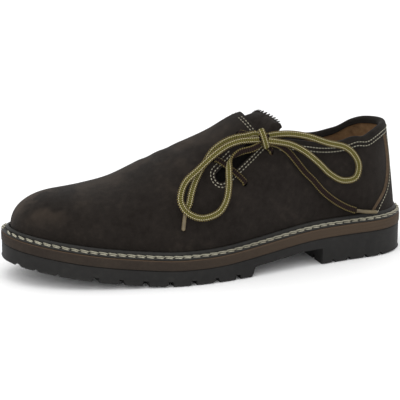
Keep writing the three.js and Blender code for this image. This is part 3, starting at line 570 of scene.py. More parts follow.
def weighted(tree, *pairs):
    """The sum of values, each times its weight."""
    parts = [math_of(tree, "MULTIPLY", value, weight) for value, weight in pairs]
    total = parts[0]
    for part in parts[1:]:
        total = math_of(tree, "ADD", total, part)
    return total


def mix_of(tree, factor, a, b):
    """The colour a, or b where the factor is 1."""
    made = add(tree, "ShaderNodeMix", {"Factor": factor}, data_type="RGBA")
    for name, value in (("A", a), ("B", b)):
        socket = [s for s in made.inputs if s.name == name and s.type == "RGBA"][0]
        if isinstance(value, bpy.types.NodeSocket):
            tree.links.new(value, socket)
        else:
            socket.default_value = value
    return [s for s in made.outputs if s.type == "RGBA"][0]


def span_of(tree, value, low, high):
    """0 at low and 1 at high, with soft ends."""
    inputs = {0: value, 1: low, 2: high, 3: 0.0, 4: 1.0}
    return add(tree, "ShaderNodeMapRange", inputs, interpolation_type="SMOOTHSTEP").outputs[0]


def group_of(name, inputs, outputs):
    """A shader node group with named sockets: returns the tree, its input node and its output node."""
    tree = bpy.data.node_groups.new(name, "ShaderNodeTree")
    for key, kind in inputs:
        tree.interface.new_socket(key, in_out="INPUT", socket_type=kind)
    for key, kind in outputs:
        tree.interface.new_socket(key, in_out="OUTPUT", socket_type=kind)
    return tree, tree.nodes.new("NodeGroupInput"), tree.nodes.new("NodeGroupOutput")


COLOR, FLOAT, VECTOR = "NodeSocketColor", "NodeSocketFloat", "NodeSocketVector"


def make_nap_group():
    """Leather with a nap: broad patches, finer mottling and the nap's own grain, as a colour and a height."""
    tree, given, made = group_of(
        "Nap",
        [("Vector", VECTOR), ("Dark", COLOR), ("Middle", COLOR), ("Light", COLOR),
         ("Patch Scale", FLOAT), ("Mottle Scale", FLOAT), ("Grain Scale", FLOAT)],
        [("Color", COLOR), ("Height", FLOAT), ("Patch", FLOAT)])
    noise = []
    for scale, detail, rough in (
            ("Patch Scale", 3.0, 0.55), ("Mottle Scale", 4.0, 0.6), ("Grain Scale", 3.0, 0.7)):
        inputs = {"Vector": given.outputs["Vector"], "Scale": given.outputs[scale], "Detail": detail,
                  "Roughness": rough}
        noise.append(add(tree, "ShaderNodeTexNoise", inputs).outputs["Fac"])
    patch, mottle, grain = noise
    whole = weighted(tree, (patch, 0.4), (mottle, 0.4), (grain, 0.2))
    low = mix_of(tree, span_of(tree, whole, 0.34, 0.51), given.outputs["Dark"], given.outputs["Middle"])
    color = mix_of(tree, span_of(tree, whole, 0.49, 0.66), low, given.outputs["Light"])
    height = weighted(tree, (mottle, 0.35), (grain, 0.65))
    tree.links.new(color, made.inputs["Color"])
    tree.links.new(height, made.inputs["Height"])
    tree.links.new(patch, made.inputs["Patch"])
    return tree


NAP = make_nap_group()


def new_material(name, roughness=0.8, **constants):
    """A material's tree, its shader and its object coordinates. constants sit on the shader's own sockets."""
    material = bpy.data.materials.new(name)
    material.use_nodes = True
    tree = material.node_tree
    shader = tree.nodes["Principled BSDF"]
    shader.inputs["Roughness"].default_value = roughness
    for key, value in constants.items():
        shader.inputs[key.replace("_", " ")].default_value = value
    place = tree.nodes.new("ShaderNodeTexCoord").outputs["Object"]
    return material, tree, shader, place


def nap_of(tree, place, dark, middle, light, patch=30.0, mottle=240.0, grain=1800.0):
    """The nap group in a material, with three colours and the sizes of its patches, mottling and grain."""
    inputs = {"Vector": place, "Dark": linear(*dark), "Middle": linear(*middle), "Light": linear(*light),
              "Patch Scale": patch, "Mottle Scale": mottle, "Grain Scale": grain}
    return add(tree, "ShaderNodeGroup", inputs, node_tree=NAP)


def bump_into(tree, shader, height, distance):
    """Bumps of a height on the shader's surface."""
    bump = add(tree, "ShaderNodeBump", {"Height": height, "Distance": distance, "Strength": 1.0})
    tree.links.new(bump.outputs["Normal"], shader.inputs["Normal"])


def make_nubuck(name, dark, middle, light, warm):
    """Nubuck: napped leather with a dry sheen. It is lighter and warmer in patches where its wear attribute is
    high, which is rubbed nap and a painted highlight, and turns near black where that attribute is below
    nought, which is painted shade."""
    material, tree, shader, place = new_material(
        name, 0.92, Sheen_Weight=0.04, Sheen_Roughness=0.5, Specular_IOR_Level=0.08)
    nap = nap_of(tree, place, dark, middle, light)
    wear_and_painted_light = add(tree, "ShaderNodeAttribute", attribute_name="wear_and_painted_light").outputs["Fac"]
    # Warmer and lighter in patches where the attribute is high: rubbed nap and a painted highlight
    patch = span_of(tree, nap.outputs["Patch"], 0.42, 0.62)
    share = math_of(tree, "MULTIPLY", wear_and_painted_light, patch, clamp=True)
    color = mix_of(tree, share, nap.outputs["Color"], linear(*warm))
    # Near black where the attribute is below nought: painted shade
    outside_painted_shade = span_of(tree, wear_and_painted_light, -1.0, 0.0)
    tree.links.new(mix_of(tree, outside_painted_shade, linear(9, 8, 7), color), shader.inputs["Base Color"])
    bump_into(tree, shader, nap.outputs["Height"], 0.0004)
    return material


def make_plain(name, dark, middle, light, roughness, depth, mottle=240.0, grain=1800.0, **constants):
    """A material of one finish, with the nap group's patches, mottling and grain."""
    material, tree, shader, place = new_material(name, roughness, **constants)
    nap = nap_of(tree, place, dark, middle, light, mottle=mottle, grain=grain)
    tree.links.new(nap.outputs["Color"], shader.inputs["Base Color"])
    bump_into(tree, shader, nap.outputs["Height"], depth)
    return material


def make_midsole_brown():
    """Brown midsole: fine layers along the edge, lighter towards the heel, and a lighter tan along the top edge
    that is a painted highlight.
    """
    material, tree, shader, place = new_material("midsole_brown", 0.78, Specular_IOR_Level=0.15)
    nap = nap_of(tree, place, (39, 32, 27), (46, 39, 33), (55, 47, 39), 60.0, 500.0, 2500.0)
    stretched = add(tree, "ShaderNodeMapping", {"Vector": place, "Scale": (20.0, 20.0, 1400.0)}).outputs[0]
    inputs = {"Vector": stretched, "Scale": 1.0, "Detail": 2.0}
    layers = add(tree, "ShaderNodeTexNoise", inputs).outputs["Fac"]
    heel = add(tree, "ShaderNodeAttribute", attribute_name="heel").outputs["Fac"]
    edge = add(tree, "ShaderNodeAttribute", attribute_name="edge").outputs["Fac"]
    color = mix_of(tree, math_of(tree, "MULTIPLY", heel, 0.75), nap.outputs["Color"], linear(74, 61, 48))
    color = mix_of(tree, math_of(tree, "MULTIPLY", layers, 0.35), color, linear(34, 28, 24))
    # Lighter tan along the rounded top edge: a painted highlight
    color = mix_of(tree, edge, color, linear(84, 68, 54))
    tree.links.new(color, shader.inputs["Base Color"])
    bump_into(tree, shader, math_of(tree, "ADD", nap.outputs["Height"], layers), 0.0002)
    return material


def make_lace():
    """Braided lace. The attribute lace holds the place across the width (-1 to 1), which face it is (-1 to 1)
    and the distance along in metres. One face is olive with two cream stripes and dashed edges, the other
    brown with dashed cream edges."""
    material, tree, shader, _ = new_material("lace_braid", 0.9, Specular_IOR_Level=0.08)
    lace = add(tree, "ShaderNodeAttribute", attribute_name="lace").outputs["Vector"]
    parts = add(tree, "ShaderNodeSeparateXYZ", {0: lace})
    across = math_of(tree, "ABSOLUTE", parts.outputs[0])
    stripe = math_of(tree, "MULTIPLY", span_of(tree, across, 0.45, 0.50), span_of(tree, across, 0.62, 0.57))
    pitch = math_of(tree, "MULTIPLY", parts.outputs[2], 2 * math.pi / BRAID_PITCH)
    ribs = math_of(tree, "SINE", pitch)
    braid = math_of(tree, "SINE", math_of(tree, "ADD", pitch, math_of(tree, "MULTIPLY", across, 5.0)))
    edge = span_of(tree, across, 0.58, 0.64)
    # Lighter on the braid's crowns and darker in its troughs: a painted highlight and painted shade over the
    # braid's relief
    shade = span_of(tree, braid, -1.0, 1.0)
    gaps = span_of(tree, ribs, -0.5, 0.3)
    olive = mix_of(tree, shade, linear(66, 61, 30), linear(112, 105, 56))
    cream = mix_of(tree, shade, linear(112, 102, 60), linear(236, 228, 196))
    dashed = mix_of(tree, gaps, linear(26, 19, 14), linear(116, 104, 66))
    face = mix_of(tree, edge, mix_of(tree, stripe, olive, cream), dashed)
    brown = mix_of(tree, shade, linear(20, 14, 13), linear(42, 31, 28))
    back = mix_of(tree, span_of(tree, across, 0.62, 0.72), brown, dashed)
    color = mix_of(tree, span_of(tree, parts.outputs[1], -0.12, 0.12), back, face)
    tree.links.new(color, shader.inputs["Base Color"])
    bump_into(tree, shader, braid, 0.0003)
    return material


NUBUCK = make_nubuck("nubuck", (24, 20, 17), (31, 27, 24), (40, 35, 31), (58, 50, 43))
NUBUCK_DARK = make_nubuck("nubuck_dark", (22, 20, 18), (29, 26, 23), (36, 32, 28), (46, 40, 35))
LINING = make_plain("lining_suede", (88, 67, 46), (112, 86, 60), (136, 106, 76), 0.95, 0.0003,
                    Sheen_Weight=0.05, Specular_IOR_Level=0.1)
RAW_EDGE = make_plain("raw_leather_edge", (62, 51, 40), (82, 68, 54), (104, 88, 70), 0.85, 0.0002,
                      mottle=900.0, Specular_IOR_Level=0.15)
RUBBER = make_plain("outsole_rubber", (23, 22, 21), (28, 27, 26), (35, 34, 32), 0.65, 0.00008,
                    grain=3000.0, Specular_IOR_Level=0.2)
WELT_LEATHER = make_plain("welt_leather", (22, 21, 20), (29, 28, 26), (38, 37, 34), 0.55, 0.0001,
                          grain=2500.0, Specular_IOR_Level=0.25)
THREAD = make_plain("waxed_thread", (112, 107, 90), (148, 144, 126), (182, 178, 160), 0.7, 0.0002,
                    mottle=900.0, grain=4000.0)
INSOLE_LEATHER = make_plain("insole_suede", (84, 62, 42), (106, 79, 54), (126, 96, 68), 0.9, 0.0003,
                            Specular_IOR_Level=0.15)
AGLET = make_plain("aglet", (62, 52, 34), (92, 80, 54), (130, 116, 84), 0.4, 0.00005)
MIDSOLE_BROWN = make_midsole_brown()
LACE = make_lace()

# The laces, made before the sole and the upper. The laces: cords first, because their
# room is checked against the camera's view

TOWARDS_VIEWER = unit(np.array((-0.30, -0.90, 0.30)))


def blunt(values, power):
    """A sine or cosine with its peaks broadened by a power below 1."""
    return np.sign(values) * np.abs(values) ** power


def braid_along(line, normal, width=LACE_WIDTH, depth=LACE_DEPTH, twist=0.0, flip=False):
    """A flat oval carried along a line. The oval's long axis is square to the line and to a normal, which may
    turn by twist on the way. Returns points, faces and the lace attribute."""
    line = np.asarray(line, float)
    count = len(line)
    ahead = unit(np.gradient(line, axis=0))
    wide = unit(np.cross(ahead, np.broadcast_to(normal, line.shape)))
    deep = np.cross(wide, ahead)
    turned = np.broadcast_to(twist, count)[:, None]
    wide, deep = wide * np.cos(turned) + deep * np.sin(turned), deep * np.cos(turned) - wide * np.sin(turned)
    angle = 2 * np.pi * np.arange(LACE_SIDES) / LACE_SIDES
    oval_wide = blunt(np.cos(angle), OVAL_WIDE) * width / 2
    oval_deep = blunt(np.sin(angle), OVAL_DEEP) * depth / 2
    rings = (line[:, None] + wide[:, None] * oval_wide[None, :, None]
             + deep[:, None] * oval_deep[None, :, None])
    points, faces = tube(rings, line)
    run = np.repeat(steps(line) * MM, LACE_SIDES)
    across = np.tile(oval_wide / (width / 2), count)
    facing = np.tile(np.sin(angle), count) * (-1 if flip else 1)
    lace = np.stack([across, facing, run], -1)
    return points, faces, np.concatenate([lace, [(0, 0, 0)], [(0, 0, run[-1])]])


def lace_cord(name, route, count, turns=(0.0, 1.0, 0.0), flip=False):
    """One free run of the lace, as a cord. turns holds two shares of the run and the angle, in radians, through
    which the lace turns over between them."""
    line = catmull(route, count)
    twist = turns[2] * smooth(np.linspace(0, 1, count), turns[0], turns[1])
    points, faces, lace = braid_along(line, TOWARDS_VIEWER, twist=twist, flip=flip)
    made = piece(name + "_braid", points, clean(faces), [LACE], replaces=(name,), slot="lace",
                 attributes={"lace": lace})


def aglet(name, route):
    """A tip of clear film wound round the lace's end: a slightly flat tube with a crimped, rounded end."""
    line = catmull(route, AGLET_RINGS)
    share = np.linspace(0, 1, AGLET_RINGS)
    ahead = unit(np.gradient(line, axis=0))
    wide = unit(np.cross(ahead, TOWARDS_VIEWER))
    deep = np.cross(wide, ahead)
    end = np.sqrt(np.clip(1 - np.clip((share - 0.9) / 0.1, 0, 1) ** 2, 0.02, 1))
    size = ((AGLET_RADIUS - AGLET_CRIMP * smooth(share, 0.05, 0.25)) * end)[:, None, None]
    angle = (2 * np.pi * np.arange(AGLET_SIDES) / AGLET_SIDES)[None, :, None]
    rings = (line[:, None] + wide[:, None] * (np.cos(angle) * size * AGLET_WIDE)
             + deep[:, None] * (np.sin(angle) * size * AGLET_DEEP))
    points, faces = tube(rings, line)
    return piece(name + "_film", points, clean(faces), [AGLET], replaces=(name,), slot="aglet")


def surface_normal(share, turn):
    """The way out of the last: the cross product of its two directions."""
    step = 0.002
    along = last(share + step, turn) - last(share - step, turn)
    round_it = last(share, turn + step) - last(share, turn - step)
    return unit(np.cross(round_it, along))


def above(place, distance):
    """A point off the outer side, at a distance from the surface."""
    share, around = place
    return last(share, -around) + surface_normal(share, -around) * distance


def make_laces():
    """The bow: two loops, two ends with their tips, the knot's wrap and core, and the bars over the slit."""
    front_tip = aglet("aglet_front", FRONT_AGLET)
    rear_tip = aglet("aglet_rear", REAR_AGLET)
    lace_cord("lace_loop_front", [(-87.5, -37.2, 96.6), *FRONT_LOOP, (-89, -39.2, 93)], 220,
              turns=(0.80, 0.93, 2.9))
    lace_cord("lace_loop_rear", [(-83.5, -36.8, 97.8), *REAR_LOOP, (-83, -40.5, 96)], 220)
    lace_cord("lace_end_front", [(-87.5, -35, 99), *FRONT_END], 120)
    lace_cord("lace_end_rear", [(-84, -37.5, 95), *REAR_END], 120, flip=True)

    # The knot: a band of lace wound round the crossing, over a short core
    angle = np.linspace(0, 2 * np.pi, 61)
    down = unit(np.array((0.28, -0.10, -0.95)))
    out = unit(np.array((-0.25, -0.92, 0.18)))
    ring = KNOT + down * np.cos(angle)[:, None] * KNOT_DOWN + out * np.sin(angle)[:, None] * KNOT_OUT
    band = braid_along(ring, unit(ring - KNOT), width=4.6, depth=2.0)
    core_line = catmull(KNOT + np.array(KNOT_CORE), 40)
    core = braid_along(core_line, TOWARDS_VIEWER, width=6.6, depth=4.4, flip=True)
    points, faces = stacked([band[:2], core[:2]])
    piece("lace_knot_braid", points, clean(faces), [LACE], replaces=("lace_knot",), slot="lace",
          attributes={"lace": np.concatenate([band[2], core[2]])})

    # The bars: each comes out of one eyelet, crosses the slit and goes into the other
    for name, start, end in (("lace_bar_upper", "vamp_upper", "quarter_upper"),
                             ("lace_bar_lower", "vamp_lower", "quarter_lower")):
        a, b = np.array(EYELETS[start]), np.array(EYELETS[end])
        line = catmull([above(a + (b - a) * t, height) for t, height in BAR_ROUTE], 90)
        places = a + (b - a) * np.linspace(0, 1, 90)[:, None]
        normals = surface_normal(places[:, 0], -places[:, 1])
        points, faces, lace = braid_along(line, normals, width=4.2, depth=2.0, flip=True)
        piece(name + "_braid", points, clean(faces), [LACE], replaces=(name,), slot="lace",
              attributes={"lace": lace})


make_laces()

# The sole


def closed_layer(levels, count=260, across_count=24):
    """A layer of the sole: its outline at several levels, from the bottom up, with a floor and a lid ruled
    across it. Each level is an inset, a surface and the rise over it."""
    shares = even_shares(count)
    rings = []
    for inset, surface, rise in levels:
        ring = np.concatenate([outline(shares, -1.0, inset), outline(shares, 1.0, inset)[::-1]])
        ring[:, 2] = surface(ring[:, 0]) + rise
        rings.append(ring)
    parts = [grid_mesh(np.array(rings), wrap=True, flip=True)]
    across = np.linspace(-1, 1, across_count)
    for (inset, surface, rise), flip in ((levels[0], False), (levels[-1], True)):
        lid = outline(shares[:, None], across[None, :], inset)
        lid[..., 2] = surface(lid[..., 0]) + rise
        parts.append(grid_mesh(lid, flip=flip))
    return joined(parts)


def make_midsole():
    """Midsole: a layer with softened edges, lighter at the heel, with a painted highlight along its top edge.
    """
    points, faces = closed_layer([
        (0.7, midsole_floor, 0.0), (0.25, midsole_floor, 0.25), (0.05, midsole_floor, 0.8),
        (0.0, midsole_floor, 2.2), (0.0, midsole_top, -3.0), (0.0, midsole_top, -1.4),
        (0.1, midsole_top, -0.8), (0.4, midsole_top, -0.2), (0.8, midsole_top, 0.0),
    ])
    share = (HEEL_BACK - points[:, 0]) / SOLE_LENGTH
    # up marks the rounded top edge, which gets a painted highlight
    up = points[:, 2] - (midsole_top(points[:, 0]) - 1.5)
    piece("brown_midsole", points, faces, [MIDSOLE_BROWN], replaces=("midsole",), slot="midsole_brown",
          attributes={"heel": 1 - smooth(share, 0.15, 0.75), "edge": smooth(up, 0.7, 1.4)}, sharp=60)


def tread_depth(share, x, inward):
    """How far the tread is cut up from the ground at a place.
    The cuts part the edge cleats and the middle bars, and make the channel, the waist and the heel's breast."""
    place = HEEL_BACK - x
    depth = np.zeros_like(x)

    def groove(away, half_width):
        """1 in a cut and 0 outside it, with a sloping wall."""
        return smooth(-away, -half_width - CUT_OUTSIDE, -half_width + CUT_INSIDE)

    def bars(first, pitch, low, high, width, cut, zone):
        """Cuts of one width at an even pitch between two places, in a zone of the tread."""
        phase = np.abs((place - first + pitch / 2) % pitch - pitch / 2)
        inside = (place > low) & (place < high) & zone
        return np.where(inside, cut * groove(phase, width / 2), 0)

    edge = inward < EDGE_CLEAT_LENGTH
    middle = inward > EDGE_CLEAT_LENGTH + CHANNEL_WIDTH
    channel = (inward > EDGE_CLEAT_LENGTH) & (inward < EDGE_CLEAT_LENGTH + CHANNEL_WIDTH)
    fore_start = SOLE_LENGTH * TREAD_BACK + FIRST_CLEAT_FORE
    fore_end = SOLE_LENGTH * FORE_CLEATS_END
    heel_start = SOLE_LENGTH * HEEL_BREAST - FIRST_CLEAT_HEEL
    heel_end = SOLE_LENGTH * HEEL_CLEATS_END
    cuts = [
        bars(fore_start, CLEAT_PITCH_FORE, fore_start - 3, fore_end, CLEAT_GAP, CLEAT_DEPTH, edge),
        bars(fore_start + CLEAT_PITCH_FORE / 2, CLEAT_PITCH_FORE, fore_start - 1, fore_end - 9, CLEAT_GAP,
             CLEAT_DEPTH - SHALLOWER, middle),
        bars(heel_start, CLEAT_PITCH_HEEL, heel_end - 2, heel_start + 3, CLEAT_GAP * 0.6, CLEAT_DEPTH * 0.7,
             edge),
        np.where(channel, CLEAT_DEPTH - SHALLOWER, 0),
    ]
    for toe_share in TOE_CLEATS:
        toe_gap = groove(np.abs(place - SOLE_LENGTH * toe_share), CLEAT_GAP / 4)
        cuts.append(np.where(edge, CLEAT_DEPTH / 2 * toe_gap, 0))
    for cut in cuts:
        depth = np.maximum(depth, cut)

    waist_run = TREAD_BACK - WAIST_RAMP - HEEL_BREAST - WAIST_FLAT
    waist_slope = (WAIST_HEIGHT_FRONT - WAIST_HEIGHT_BACK) / waist_run
    waist = WAIST_HEIGHT_BACK + waist_slope * np.clip(share - HEEL_BREAST - WAIST_FLAT, 0, 1)
    in_waist = (share > HEEL_BREAST) & (share < TREAD_BACK)
    ramp = np.clip((TREAD_BACK - share) / WAIST_RAMP, 0, 1)
    return np.where(in_waist, waist * np.minimum(ramp * 1.4, 1), depth)


def make_outsole():
    """Cleated outsole: a tread worked out as a height over the plan of the sole, a wall whose lower edge
    follows the cuts in the tread, and a smooth top."""
    base = even_shares(420)
    breaks = [HEEL_BREAST, TREAD_BACK, TREAD_BACK - 0.008]
    extra = np.concatenate([[b - 0.0004, b + 0.0004] for b in breaks])
    shares = np.unique(np.concatenate([base, extra]))
    shares = shares[np.concatenate([[True], np.diff(shares) > 2e-4])]
    shares[0], shares[-1] = 0, 1

    # Across the tread: finer at the edge and on both sides of the channel
    edge_lines = np.array([0, 0.8, 1.6, 4, 8, 12, 14.6, 15.2, 17.9, 18.5])
    half = read(OUTLINE, "half", shares) * BALL_WIDTH * round_ends(shares)
    reach = np.minimum(1, half / 19.5)
    inward = edge_lines[None, :] * reach[:, None]
    middle_lines = np.linspace(0, 1, 8)[1:]
    inner = inward[:, -1:] + (half[:, None] - inward[:, -1:]) * middle_lines[None, :]
    inward = np.concatenate([inward, inner], 1)
    safe = np.maximum(half, 1e-6)[:, None]
    tread = []
    for side in (-1.0, 1.0):
        across = side * (1 - inward / safe)
        across = np.where(half[:, None] < 1e-5, 0, across)
        points = outline(shares[:, None], across)
        share_here = np.broadcast_to(shares[:, None], inward.shape)
        depth = tread_depth(share_here, points[..., 0], inward)
        bevel = 0.9 * (1 - smooth(inward, 0, 1.6)) * (depth < 0.5)
        points[..., 2] = spring(points[..., 0]) + depth + bevel
        tread.append(points)
    parts = [grid_mesh(tread[0]), grid_mesh(tread[1], flip=True)]

    # The side wall, from the tread's edge up to the top, with soft corners
    levels = [(0.4, 1.2), (0.4, 2.4), (0.4, None), (0.55, -0.4), (0.9, 0.0)]
    for side, points in ((-1.0, tread[0]), (1.0, tread[1])):
        low = points[:, 0]
        rings = [low]
        for inset, height in levels:
            ring = outline(shares, side, inset)
            top = outsole_top(ring[:, 0])
            if height is None:
                ring[:, 2] = top - 1.2
            elif height <= 0:
                ring[:, 2] = top + height
            else:
                ring[:, 2] = np.minimum(low[:, 2] + height, top - 1.3)
            rings.append(ring)
        parts.append(grid_mesh(np.array(rings), flip=side > 0))
    across = np.linspace(-1, 1, 16)
    lid = outline(shares[:, None], across[None, :], 0.9)
    lid[..., 2] = outsole_top(lid[..., 0])
    parts.append(grid_mesh(lid, flip=True))
    piece("cleated_outsole", *joined(parts), [RUBBER], replaces=("outsole",), slot="outsole_rubber", sharp=38)


def welt_frame(shares, side):
    """For each share: the feather's plan place, the way out to the sole's edge and the welt's width there."""
    feather = last(shares, side * np.ones_like(shares))
    feather[:, 2] = 0
    edge = outline(shares, side, 0.2)
    out = edge - feather
    width = np.linalg.norm(out, axis=1)
    return feather, out / np.maximum(width, 1e-6)[:, None], width


def on_welt(shares, side, away, up):
    """A point of the welt: away from the feather, and up from the midsole's top."""
    feather, out, _ = welt_frame(shares, side)
    points = feather + out * np.broadcast_to(away, shares.shape)[:, None]
    points[:, 2] = midsole_top(points[:, 0]) + up
    return points


def make_welt():
    """Storm welt: a flat flange with a rounded edge, and a half-round bead that stands up by the upper."""
    shares = even_shares(300)
    flat = GAP + WELT_THICKNESS
    halves = []
    for side in (-1.0, 1.0):
        width = welt_frame(shares, side)[2]
        bead = np.minimum(BEAD_WIDTH, width * 0.5)
        corners = [(width - 0.3, GAP), (width, GAP + 0.35), (width, flat - 0.45), (width - 0.4, flat),
                   (width * 0.8, flat + 0.05), (GAP + bead + 0.9, flat), (GAP + bead + 0.15, flat + 0.12)]
        for angle in np.linspace(0.05, 0.95, 11):
            turn = math.pi * angle
            corners.append((GAP + bead * (0.5 + 0.5 * math.cos(turn)),
                            flat + BEAD_HEIGHT * math.sin(turn) ** 0.75))
        corners += [(0.1, flat), (-2.5, flat), (-2.5, GAP), (width - 0.3, GAP)]
        rings = np.stack([on_welt(shares, side, away, up) for away, up in corners], 1)
        halves.append(grid_mesh(rings, flip=side < 0))
    piece("storm_welt", *joined(halves), [WELT_LEATHER], replaces=("welt",), slot="welt_leather", sharp=55)


def stitches(centres, ahead, up, length, width, height, name):
    """Stitches as small rounded bars: one template of rings, carried to each centre by its own three axes."""
    ahead = unit(ahead)
    across = unit(np.cross(up, ahead))
    up = np.cross(ahead, across)
    along = np.array([-0.5, -0.46, -0.3, 0, 0.3, 0.46, 0.5])
    fat = np.array([0.0, 0.55, 0.92, 1.0, 0.92, 0.55, 0.0])
    sides = 7
    angle = 2 * np.pi * np.arange(sides) / sides
    template_x = np.repeat(along, sides) * length
    template_y = (fat[:, None] * np.cos(angle)[None, :]).ravel() * width / 2
    template_z = (fat[:, None] * np.sin(angle)[None, :]).ravel() * height / 2
    points = (centres[:, None] + ahead[:, None] * template_x[None, :, None]
              + across[:, None] * template_y[None, :, None] + up[:, None] * template_z[None, :, None])
    base = quads_of(len(along), sides, wrap=True, flip=True)
    starts = np.arange(len(centres)) * len(template_x)
    faces = (base[None] + starts[:, None, None]).reshape(-1, 4)
    piece(name, *joined([(points.reshape(-1, 3), faces)]), [THREAD], sharp=180)


def welt_row(side, away_from_edge, away_from_bead, pitch, offset, tilt, lift):
    """Centres and axes of one row of welt stitches, at even distances round the sole and turned by a tilt."""
    dense = (1 - np.cos(np.pi * np.linspace(0.02, 0.98, 2400))) / 2
    _, _, width = welt_frame(dense, side)
    bead = np.minimum(BEAD_WIDTH, width * 0.5)
    away = width - away_from_edge if away_from_bead is None else GAP + bead + away_from_bead
    line = on_welt(dense, side, away, GAP + WELT_THICKNESS + lift)
    run = steps(line)
    at = np.arange(offset, run[-1], pitch)
    centres = read_along(at, run, line)
    ahead = unit(read_along(at, run, np.gradient(line, axis=0)))
    _, out, _ = welt_frame(np.interp(at, run, dense), side)
    return centres, unit(ahead * math.cos(tilt) + out * math.sin(tilt))


def make_welt_stitches():
    """Two rows of stitches on the welt: a stout one over the bead and a finer one beside the edge."""
    for name, edge, bead, length, width, height, tilt, lift, shift in (
            ("welt_stitches_inner", 0, 1.35, 6.9, 1.35, 1.2, -0.26, 0.30, 0.0),
            ("welt_stitches_outer", 0.8, None, 5.2, 0.95, 0.8, -0.16, 0.10, 3.3)):
        rows = [welt_row(side, edge, bead, WELT_STITCH_PITCH, 1.0 + shift, tilt, lift)
                for side in (-1.0, 1.0)]
        centres = np.concatenate([row[0] for row in rows])
        ahead = np.concatenate([row[1] for row in rows])
        up = np.broadcast_to((0.0, 0.0, 1.0), centres.shape)
        stitches(centres, ahead, up, length, width, height, name)


def make_insole():
    """Insole: a dished floor inside the upper with a rounded rim."""
    shares = even_shares(160)
    across = np.sin(np.linspace(-1, 1, 33) * np.pi / 2)
    edges = [last(shares, side * np.ones_like(shares), WALL + 0.4) for side in (-1.0, 1.0)]
    mix = ((across + 1) / 2)[None, :, None]
    plan = edges[0][:, None] * (1 - mix) + edges[1][:, None] * mix
    top = plan.copy()
    top[..., 2] = midsole_top(plan[..., 0]) + GAP + INSOLE_THICKNESS + 1.6 * across[None, :] ** 4 - 0.5
    low = plan.copy()
    low[..., 2] = midsole_top(plan[..., 0]) + GAP
    rims = [grid_mesh(np.stack([low[:, k], top[:, k]], 1), flip=k == 0) for k in (0, -1)]
    points, faces = joined([grid_mesh(top, flip=True), grid_mesh(low), *rims])
    piece("suede_insole", points, faces, [INSOLE_LEATHER], replaces=("insole",), slot="insole_suede",
          sharp=60)


make_outsole()
make_midsole()
make_welt()
make_welt_stitches()
make_insole()

# The upper

# Soft creases: where each starts and ends on the upper (share, turn), its depth and its half width
CREASES = [
    ((0.560, -0.30), (0.600, 0.18), 0.45, 4.5),
    ((0.590, -0.55), (0.640, -0.20), 0.40, 5.0),
    ((0.625, -0.20), (0.650, 0.30), 0.35, 4.5),
    ((0.540, 0.20), (0.600, 0.60), 0.40, 5.0),
    ((0.480, -0.75), (0.560, -0.62), 0.35, 6.0),
]
LENGTH_SCALE = 290.0
ROUND_SCALE = 95.0


def relief(share, turn):
    """Height of the upper over the last: soft troughs with low banks, placed where the foot bends."""
    height = np.zeros(np.broadcast(share, turn).shape)
    for (s0, t0), (s1, t1), depth, width in CREASES:
        a = np.array([s0 * LENGTH_SCALE, t0 * ROUND_SCALE])
        b = np.array([s1 * LENGTH_SCALE, t1 * ROUND_SCALE])
        px = share * LENGTH_SCALE - a[0]
        py = turn * ROUND_SCALE - a[1]
        along = b - a
        t = np.clip((px * along[0] + py * along[1]) / (along @ along), 0, 1)
        away = np.hypot(px - along[0] * t, py - along[1] * t) / width
        fade = np.sin(np.pi * np.clip(t, 0.08, 0.92)) ** 0.6
        height += depth * fade * (0.5 * np.exp(-((away - 1.4) / 0.7) ** 2) - np.exp(-away ** 2))
    return height


def skin(share, turn, out=0.0):
    """A point of the upper's outer surface, with its creases, out by a distance."""
    return last(share, turn, -(out + relief(share, turn)))


def slit_distance(points):
    """Distance in the side view from the slit's round-ended slot, negative inside it."""
    top, end = last(SLIT_TOP[0], -SLIT_TOP[1]), last(SLIT_END[0], -SLIT_END[1])
    a = np.array([end[0], end[2]])
    along = np.array([top[0], top[2]]) - a
    length = np.linalg.norm(along) + 14
    along = along / np.linalg.norm(along)
    px, pz = points[..., 0] - a[0], points[..., 2] - a[1]
    t = np.clip(px * along[0] + pz * along[1], 0, length)
    return np.hypot(px - along[0] * t, pz - along[1] * t) - SLIT_WIDTH / 2


def holes_distance(share, turn):
    """Distance from the nearest cut in the upper: the slit and the four lace holes, all on the outer side."""
    points = last(share, turn)
    far = np.where(turn < 0, slit_distance(points), 99.0)
    for place in EYELETS.values():
        centre = last(place[0], -place[1])
        gap = np.linalg.norm(points - centre, axis=-1) - EYELET_DIAMETER / 2
        far = np.minimum(far, np.where(turn < 0, gap, 99.0))
    return far


def slide_to_edge(share, turn, distance, rounds=5):
    """Slides points over the surface, down the distance's slope, until they lie on the cut's edge."""
    step = 1e-4
    for _ in range(rounds):
        here = distance(share, turn)
        slope_share = (distance(share + step, turn) - here) / step / LENGTH_SCALE
        slope_turn = (distance(share, turn - step) - here) / -step / ROUND_SCALE
        size = np.maximum(slope_share ** 2 + slope_turn ** 2, 1e-3)
        move = np.clip(-here / size, -3, 3)
        share = share + move * slope_share / LENGTH_SCALE
        turn = turn + move * slope_turn / ROUND_SCALE
    return share, turn


def wear_and_highlight_at(share, turn):
    """Where the nap is lighter: the top of the toe and the vamp's ridge, partly rubbed nap and partly a painted
    highlight where the light falls on top, and the banks of the creases, rubbed by bending.
    """
    # Toe and ridge: rubbed nap mixed with a painted highlight on the top; crease banks: rubbed nap
    toe = smooth(share, 0.80, 0.93) * (1 - smooth(np.abs(turn), 0.35, 0.8)) * (1 - smooth(share, 0.97, 1.0))
    ridge = 0.45 * (1 - smooth(np.abs(turn), 0.02, 0.25)) * smooth(share, 0.43, 0.47)
    return np.clip(0.75 * toe + ridge + 0.25 * np.clip(relief(share, turn) * 4, 0, 1), 0, 1)


